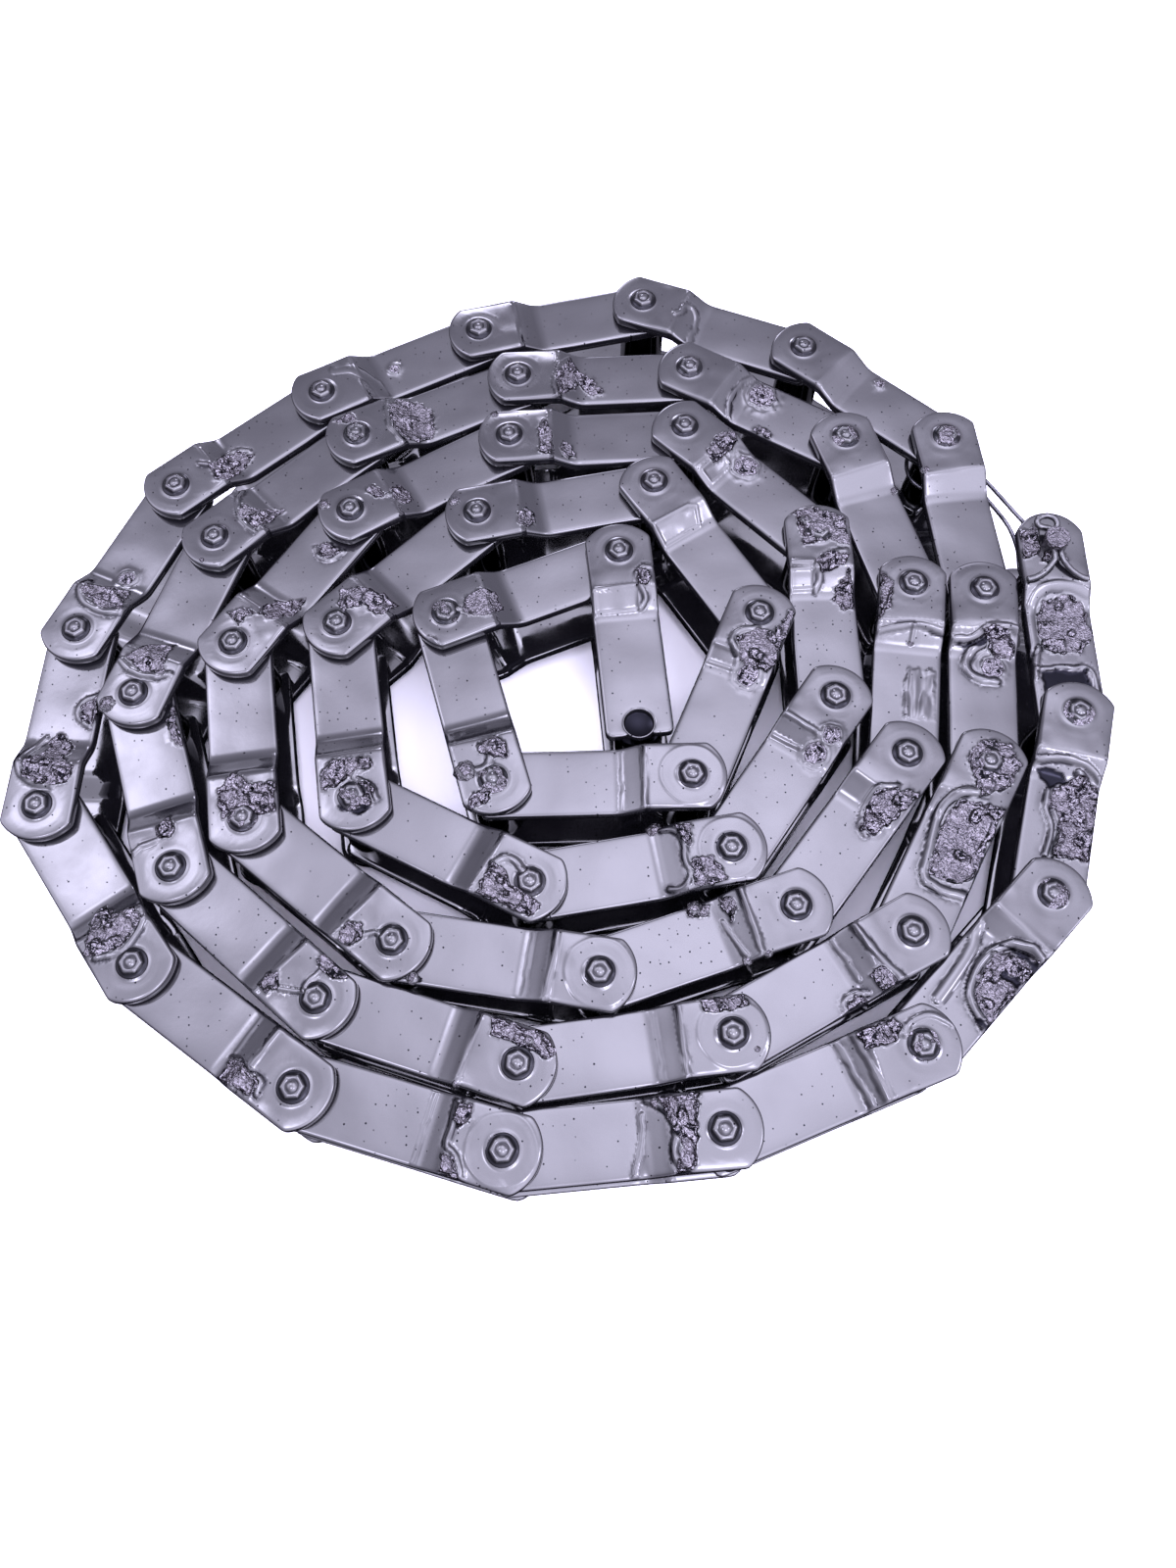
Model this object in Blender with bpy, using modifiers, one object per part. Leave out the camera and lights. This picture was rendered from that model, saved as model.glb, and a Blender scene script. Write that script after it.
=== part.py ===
# A ten-foot length of steel pintle chain, wound into a flat coil that lies on its side.
# Every pin stands upright. Link 1 is the free inner end, and a tie wire holds link 52, the outer end.
# Units are metres. The origin is on the floor, under the middle of the coil's bounding box.

import math

import bmesh
import bpy
import numpy as np
from mathutils import Vector

MM = 0.001

# The link, in its own frame: x from the barrel's axis to the next pin, z along the pins, 0 at mid-height.
PITCH = 58.75 * MM
PLATE_HALF = 10.5 * MM
PLATE_THICK = 3.4 * MM
NARROW_HALF = 14.3 * MM
STEP = 4.1 * MM
WIDE_HALF = NARROW_HALF + STEP
BEND_START = 37.5 * MM
BEND_END = 44.5 * MM
NARROW_CUT = 4.0 * MM
NARROW_CORNER = 2.0 * MM
END_RADIUS = 12.9 * MM
END_CENTRE = PITCH - 2.35 * MM
BARREL_RADIUS = 7.6 * MM
BARREL_HALF = 13.2 * MM
BORE_RADIUS = 4.6 * MM

# The riveted pin and its swaged hexagonal heads.
PIN_RADIUS = 3.97 * MM
HEAD_BASE = 4.7 * MM
HEAD_TOP = 3.5 * MM
HEAD_HEIGHT = 3.0 * MM

# The connecting pin at the outer end, with its cotter.
FIT_GAP = 0.35 * MM
COLLAR_RADIUS = 5.6 * MM
PIN_PROUD = 5.6 * MM
COTTER_LEVEL = 2.7 * MM
COTTER_HOLE = 2.1 * MM
COTTER_WIRE = 0.8 * MM
TIE_WIRE = 0.7 * MM

ROUND_SIDES = 8
ARC_STEPS = 6

# Where the pins stand in plan, in whole millimetres from the coil's middle, from the open barrel at the inner
# end to the connecting pin at the outer end. Each link points at the next of these places.
PIN_PLACES = [
    (22, -18), (18, 38), (-39, 19), (-22, -37), (36, -37), (61, 17), (30, 67), (-27, 57), (-71, 17),
    (-63, -42), (-11, -69), (47, -60), (82, -12), (82, 47), (42, 88), (-17, 87), (-69, 59), (-103, 11),
    (-95, -47), (-51, -84), (6, -95), (63, -78), (101, -32), (110, 26), (95, 81), (43, 114), (-15, 112),
    (-68, 89), (-112, 50), (-132, -6), (-114, -63), (-70, -101), (-14, -120), (44, -113), (96, -86),
    (125, -35), (132, 23), (128, 82), (86, 119), (30, 143), (-28, 132), (-81, 107), (-127, 70),
    (-152, 18), (-156, -43), (-122, -90), (-77, -123), (-19, -142), (40, -138), (96, -117), (138, -75),
    (154, -20), (156, 39),
]

# The cotter's bent legs and eye, in millimetres from the connecting pin: right, away, and up from the plate.
COTTER_ROUTE = [
    (-11.0, -14.2, 1.4), (-8.2, -13.6, 1.4), (-5.2, -11.8, 1.5), (-2.8, -9.4, 1.8), (-1.4, -7.0, 2.4),
    (-1.0, -5.0, 2.7), (-1.0, 0.0, 2.7), (-1.0, 4.4, 2.7), (-2.6, 5.6, 2.8), (-4.1, 6.6, 3.0),
    (-4.3, 8.6, 3.2), (-2.8, 10.1, 3.3), (-0.7, 10.3, 3.3), (1.2, 9.0, 3.2), (1.7, 7.0, 3.0),
    (1.1, 4.4, 2.7), (1.0, 0.0, 2.7), (1.0, -5.0, 2.7), (1.7, -7.2, 2.3), (3.6, -10.2, 1.7),
    (6.2, -12.6, 1.5), (9.0, -14.4, 1.4), (11.2, -15.6, 1.4),
]

# The tie wire's loop, in millimetres from the coil's middle and from mid-height. It passes round the connecting
# pin and round the barrel of link 38.
TIE_ROUTE = [
    (161.0, 41.0, 4.4), (157.6, 50.6, 4.6), (151.7, 60.5, 4.8), (145.6, 70.8, 4.8), (139.6, 80.4, 4.6),
    (135.0, 88.4, 4.2), (128.5, 91.6, 3.8), (122.0, 89.4, 3.2), (118.8, 83.6, 2.6), (119.4, 77.0, 2.2),
    (123.6, 72.9, 2.0), (129.6, 72.4, 2.2), (135.6, 74.4, 2.6), (140.8, 71.6, 3.2), (145.1, 64.1, 3.8),
    (149.2, 55.4, 4.0), (150.9, 47.0, 3.6), (150.7, 39.0, 3.0), (152.4, 35.0, 2.8), (156.2, 33.5, 3.0),
    (160.0, 35.4, 3.6),
]


def clear_scene():
    for obj in list(bpy.data.objects):
        bpy.data.objects.remove(obj, do_unlink=True)


def new_collection(name):
    collection = bpy.data.collections.new(name)
    bpy.context.scene.collection.children.link(collection)
    return collection


def steel(name, color, roughness, metallic):
    material = bpy.data.materials.new(name)
    material.use_nodes = True
    shader = material.node_tree.nodes["Principled BSDF"]
    shader.inputs["Base Color"].default_value = (*color, 1.0)
    shader.inputs["Roughness"].default_value = roughness
    shader.inputs["Metallic"].default_value = metallic
    return material


def add_object(name, data, collection):
    obj = bpy.data.objects.new(name, data)
    collection.objects.link(obj)
    return obj


def to_mesh(obj, name):
    """Replaces an object by one mesh with its modifiers and transform applied."""
    bpy.context.view_layer.update()
    evaluated = obj.evaluated_get(bpy.context.evaluated_depsgraph_get())
    mesh = bpy.data.meshes.new_from_object(evaluated)
    mesh.name = name
    mesh.transform(obj.matrix_world)
    bm = bmesh.new()
    bm.from_mesh(mesh)
    bmesh.ops.remove_doubles(bm, verts=bm.verts, dist=0.001 * MM)
    bm.to_mesh(mesh)
    bm.free()
    collection = obj.users_collection[0]
    bpy.data.objects.remove(obj, do_unlink=True)
    return add_object(name, mesh, collection)


def prism(name, outline, half_depth, collection):
    """A flat closed outline, filled and thickened along z."""
    curve = bpy.data.curves.new(name, "CURVE")
    curve.dimensions = "2D"
    curve.fill_mode = "BOTH"
    curve.extrude = half_depth
    spline = curve.splines.new("POLY")
    spline.points.add(len(outline) - 1)
    for point, (x, y) in zip(spline.points, outline):
        point.co = (x, y, 0.0, 1.0)
    spline.use_cyclic_u = True
    return to_mesh(add_object(name, curve, collection), name)


def cylinder(name, radius, bottom, top, collection, top_radius=None, sides=ROUND_SIDES):
    """An upright cylinder or cone between two heights."""
    mesh = bpy.data.meshes.new(name)
    bm = bmesh.new()
    upper = radius if top_radius is None else top_radius
    bmesh.ops.create_cone(
        bm, cap_ends=True, segments=sides, radius1=radius, radius2=upper, depth=top - bottom)
    bmesh.ops.translate(bm, verts=bm.verts, vec=(0.0, 0.0, (top + bottom) / 2))
    bm.to_mesh(mesh)
    bm.free()
    return add_object(name, mesh, collection)


def wire(name, points, radius, closed, collection):
    """A round wire through a list of points."""
    curve = bpy.data.curves.new(name, "CURVE")
    curve.dimensions = "3D"
    curve.bevel_depth = radius
    curve.bevel_resolution = 2
    curve.use_fill_caps = not closed
    spline = curve.splines.new("POLY")
    spline.points.add(len(points) - 1)
    for point, place in zip(spline.points, points):
        point.co = (*place, 1.0)
    spline.use_cyclic_u = closed
    return add_object(name, curve, collection)


def combine(target, other, operation):
    """Joins, cuts or intersects one solid with another, and removes the other."""
    modifier = target.modifiers.new(operation.lower(), "BOOLEAN")
    modifier.operation = operation
    modifier.object = other
    modifier.solver = "EXACT"
    result = to_mesh(target, target.name)
    bpy.data.objects.remove(other, do_unlink=True)
    return result


def arc(centre, radius, start, stop, steps):
    angles = np.linspace(start, stop, steps + 1)
    return [(centre[0] + radius * math.cos(a), centre[1] + radius * math.sin(a)) for a in angles]


def smooth_route(points, steps, closed):
    """Points read from a smooth curve through the route's own points."""
    count = len(points)
    places = [Vector(point) * MM for point in points]
    pick = (lambda k: places[k % count]) if closed else (lambda k: places[min(max(k, 0), count - 1)])
    spans = count if closed else count - 1
    route = []
    for k in range(spans):
        before, start, stop, after = pick(k - 1), pick(k), pick(k + 1), pick(k + 2)
        for step in range(steps):
            t = step / steps
            route.append(0.5 * (
                2 * start + (stop - before) * t
                + (2 * before - 5 * start + 4 * stop - after) * t ** 2
                + (3 * start - before - 3 * stop + after) * t ** 3))
    if not closed:
        route.append(places[-1])
    return route


def side_bars(collection):
    """The two offset side bars: the bent strip seen from the side, trimmed to the outline seen from above."""
    shift = PLATE_THICK * math.tan(math.atan2(STEP, BEND_END - BEND_START) / 2)
    past_end = END_CENTRE + END_RADIUS + 5 * MM
    strip = [
        (-NARROW_CUT - 5 * MM, NARROW_HALF), (BEND_START, NARROW_HALF), (BEND_END, WIDE_HALF),
        (past_end, WIDE_HALF), (past_end, WIDE_HALF - PLATE_THICK),
        (BEND_END + shift, WIDE_HALF - PLATE_THICK), (BEND_START + shift, NARROW_HALF - PLATE_THICK),
        (-NARROW_CUT - 5 * MM, NARROW_HALF - PLATE_THICK),
    ]
    bar = prism("bar", strip, 2 * PLATE_HALF, collection)
    bar.rotation_euler.x = math.pi / 2
    bar = to_mesh(bar, "bar")
    sweep = math.asin(PLATE_HALF / END_RADIUS)
    corner = NARROW_CORNER
    outline = arc((END_CENTRE, 0.0), END_RADIUS, -sweep, sweep, ARC_STEPS)
    outline += arc((corner - NARROW_CUT, PLATE_HALF - corner), corner, math.pi / 2, math.pi, 1)
    outline += arc((corner - NARROW_CUT, corner - PLATE_HALF), corner, math.pi, 1.5 * math.pi, 1)
    plan = prism("plan", outline, 2 * WIDE_HALF, collection)
    bar = combine(bar, plan, "INTERSECT")
    mirror = bar.modifiers.new("mirror", "MIRROR")
    mirror.use_axis = (False, False, True)
    mirror.merge_threshold = 0.01 * MM
    return to_mesh(bar, "side_bars")


def bare_link(collection):
    """One stamped link: side bars and barrel in one piece, with the bore through them."""
    link = side_bars(collection)
    barrel = cylinder("barrel", BARREL_RADIUS, -BARREL_HALF, BARREL_HALF, collection)
    link = combine(link, barrel, "UNION")
    bore = cylinder("bore", BORE_RADIUS, -2 * WIDE_HALF, 2 * WIDE_HALF, collection)
    return combine(link, bore, "DIFFERENCE")


def riveted_link(collection):
    """A link with the pin that is riveted in its wide end, and the pin's two hexagonal heads."""
    link = bare_link(collection)
    middle = WIDE_HALF - PLATE_THICK / 2
    top = WIDE_HALF + HEAD_HEIGHT
    pieces = [
        cylinder("shank", PIN_RADIUS, -middle, middle, collection),
        cylinder("upper_head", HEAD_BASE, middle, top, collection, HEAD_TOP, 6),
        cylinder("lower_head", HEAD_TOP, -top, -middle, collection, HEAD_BASE, 6),
    ]
    for piece in pieces:
        piece.location.x = PITCH
        link = combine(link, piece, "UNION")
    return link


def end_link(collection):
    """The outer link, drilled for the connecting pin."""
    link = bare_link(collection)
    hole = cylinder("hole", PIN_RADIUS + FIT_GAP, -2 * WIDE_HALF, 2 * WIDE_HALF, collection)
    hole.location.x = PITCH
    return combine(link, to_mesh(hole, "hole"), "DIFFERENCE")


def connecting_pin(collection):
    """A plain round pin with a low collar below, and a cross hole for the cotter above."""
    pin = cylinder("connecting_pin", PIN_RADIUS, -WIDE_HALF - MM, WIDE_HALF + PIN_PROUD, collection)
    collar = cylinder(
        "collar", COLLAR_RADIUS, -WIDE_HALF - HEAD_HEIGHT, -WIDE_HALF - FIT_GAP, collection)
    pin = combine(pin, collar, "UNION")
    hole = cylinder("cross_hole", COTTER_HOLE, -3 * PIN_RADIUS, 3 * PIN_RADIUS, collection)
    hole.rotation_euler.x = math.pi / 2
    hole.location.z = WIDE_HALF + COTTER_LEVEL
    return combine(pin, to_mesh(hole, "cross_hole"), "DIFFERENCE")


def chain_pins():
    """The pins' places: each link has the exact pitch and points at the next place in the list."""
    pins = [Vector(PIN_PLACES[0]) * MM]
    for place in PIN_PLACES[1:]:
        towards = Vector(place) * MM - pins[-1]
        pins.append(pins[-1] + PITCH * towards.normalized())
    return pins


def finish(obj, material):
    obj.data.materials.clear()
    obj.data.materials.append(material)
    if obj.type == "MESH":
        obj.data.shade_smooth()
        obj.data.set_sharp_from_angle(angle=math.radians(35))


def place_link(number, mesh, start, stop, level, coil, collection):
    link = add_object("link_%02d" % number, mesh, collection)
    run = stop - start
    link.rotation_euler.z = math.atan2(run.y, run.x)
    link.location = (start.x, start.y, level)
    link.parent = coil
    return link


def centre_on_origin(coil, collection):
    """Moves the coil so that its bounding box stands centred on the origin."""
    bpy.context.view_layer.update()
    corners = [
        obj.matrix_world @ vertex.co for obj in collection.objects
        if obj.type == "MESH" for vertex in obj.data.vertices]
    across = [corner.x for corner in corners]
    away = [corner.y for corner in corners]
    coil.location.x -= (min(across) + max(across)) / 2
    coil.location.y -= (min(away) + max(away)) / 2


def build():
    clear_scene()
    collection = new_collection("pintle_chain_coil")
    coated = steel("coated_link_steel", (0.16, 0.16, 0.19), 0.22, 0.35)
    bright = steel("coated_pin_steel", (0.22, 0.22, 0.24), 0.25, 0.5)
    bare = steel("bare_wire_steel", (0.42, 0.42, 0.44), 0.3, 1.0)

    coil = add_object("coil", None, collection)
    level = WIDE_HALF + HEAD_HEIGHT
    pins = chain_pins()

    pattern = riveted_link(collection)
    finish(pattern, coated)
    last = end_link(collection)
    finish(last, coated)
    count = len(pins) - 1
    for number in range(1, count + 1):
        mesh = last.data if number == count else pattern.data
        place_link(number, mesh, pins[number - 1], pins[number], level, coil, collection)
    bpy.data.objects.remove(pattern, do_unlink=True)
    bpy.data.objects.remove(last, do_unlink=True)

    end_pin = connecting_pin(collection)
    finish(end_pin, bright)
    end_pin.location = (pins[-1].x, pins[-1].y, level)
    end_pin.parent = coil

    cotter = wire("cotter_pin", smooth_route(COTTER_ROUTE, 2, False), COTTER_WIRE, False, collection)
    cotter.location = (pins[-1].x, pins[-1].y, level + WIDE_HALF)
    cotter = to_mesh(cotter, "cotter_pin")
    finish(cotter, bright)
    cotter.parent = coil

    tie = wire("tie_wire", smooth_route(TIE_ROUTE, 2, True), TIE_WIRE, True, collection)
    tie.location.z = level
    tie = to_mesh(tie, "tie_wire")
    finish(tie, bare)
    tie.parent = coil

    centre_on_origin(coil, collection)


build()
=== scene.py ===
import math

import bmesh
import bpy
import numpy as np
from mathutils import Matrix, Vector
from mathutils.geometry import delaunay_2d_cdt


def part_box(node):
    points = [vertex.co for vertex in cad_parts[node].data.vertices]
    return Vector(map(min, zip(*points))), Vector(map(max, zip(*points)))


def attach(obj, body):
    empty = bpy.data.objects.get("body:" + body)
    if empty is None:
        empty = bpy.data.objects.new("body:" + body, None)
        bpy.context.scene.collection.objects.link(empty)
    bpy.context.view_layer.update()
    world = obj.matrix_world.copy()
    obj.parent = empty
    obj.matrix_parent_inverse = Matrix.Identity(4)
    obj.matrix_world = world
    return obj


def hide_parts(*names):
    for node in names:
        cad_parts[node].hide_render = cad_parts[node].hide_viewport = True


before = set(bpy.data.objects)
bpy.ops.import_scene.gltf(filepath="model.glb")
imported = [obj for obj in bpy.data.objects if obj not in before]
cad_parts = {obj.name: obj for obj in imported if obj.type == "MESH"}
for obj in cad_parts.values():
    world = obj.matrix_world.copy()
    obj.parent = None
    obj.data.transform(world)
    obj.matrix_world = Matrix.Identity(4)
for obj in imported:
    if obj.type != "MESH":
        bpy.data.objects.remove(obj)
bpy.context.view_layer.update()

# The dressed coil: every link is a detailed mesh in the place of its solid. Lengths here are millimetres,
# in the link's own frame: s runs from the barrel to the next pin, v across the link, z up from mid-height.
MM = 0.001
LINKS = 52
PITCH = 58.75
PLATE_HALF = 10.5
PLATE_THICK = 3.4
NARROW_TOP = 14.3
WIDE_TOP = 18.4
BEND_START = 37.5
BEND_END = 44.5
NARROW_CUT = 4.0
NARROW_CORNER = 2.0
END_RADIUS = 12.9
END_CENTRE = PITCH - 2.35
BARREL_RADIUS = 7.6
BORE_RADIUS = 4.6
PIN_RADIUS = 3.97
HEAD_HEIGHT = 3.0
UPPER_HEAD_LOWER = 0.74
RAGGED_FROM = 4.2
MID_HEIGHT = WIDE_TOP + HEAD_HEIGHT

# How the coating rounds the plates' edges, thins towards them, and rises against the heads
EDGE_ROUND = 0.9
INSETS = (0.0, 0.1, 0.3, 0.6, 1.0)
INNER_RIM = ((0.0, PLATE_THICK - 0.5), (0.15, PLATE_THICK - 0.15), (0.5, PLATE_THICK))
OUTER_RIM = ((0.1, 0.35), (0.0, 0.9))
FINE_STEPS = (0.85, 0.42)
PLAIN_STEPS = (1.7, 0.9)
EDGE_FALL = 0.16
EDGE_FALL_WIDTH = 1.7
BEND_SOFTNESS = 0.8
INNER_SOFTER = 2.4
BEND_CREST = 0.5
CREST_PAST_BEND = 1.6
CREST_CLIMB = 2.0
CREST_FALL = 8.0
PILLOW = 0.2
PILLOW_WIDTH = 2.0
LIP_WIDER = 1.4
LIP_HIGHER = 1.3
END_TWIST = 0.09
LAST_LINK_LONGER = 2.2
MENISCUS_RADIUS = 5.6
RING_RADIUS = 7.7


def read_places(table):
    return [tuple(map(float, word.split(","))) for word in table.split()]


def read_features(table):
    """Each link's features: the kind, the list of its places where it has any, and its numbers."""
    features = {}
    for word in table.split():
        if word.endswith(":"):
            rows = features[int(word[:-1])] = []
        elif word.isalpha():
            row = [word]
            rows.append(row)
        elif "," in word:
            if len(row) == 1:
                row.append([])
            row[1] += read_places(word)
        else:
            row.append(float(word))
    return features


# Where the pins stand in plan, as in the source: each link points at the next of these places.
PIN_PLACES = read_places("""
22,-18 18,38 -39,19 -22,-37 36,-37 61,17 30,67 -27,57 -71,17 -63,-42 -11,-69 47,-60 82,-12 82,47 42,88 -17,87
-69,59 -103,11 -95,-47 -51,-84 6,-95 63,-78 101,-32 110,26 95,81 43,114 -15,112 -68,89 -112,50 -132,-6 -114,-63
-70,-101 -14,-120 44,-113 96,-86 125,-35 132,23 128,82 86,119 30,143 -28,132 -81,107 -127,70 -152,18 -156,-43
-122,-90 -77,-123 -19,-142 40,-138 96,-117 138,-75 154,-20 156,39
""")

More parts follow.
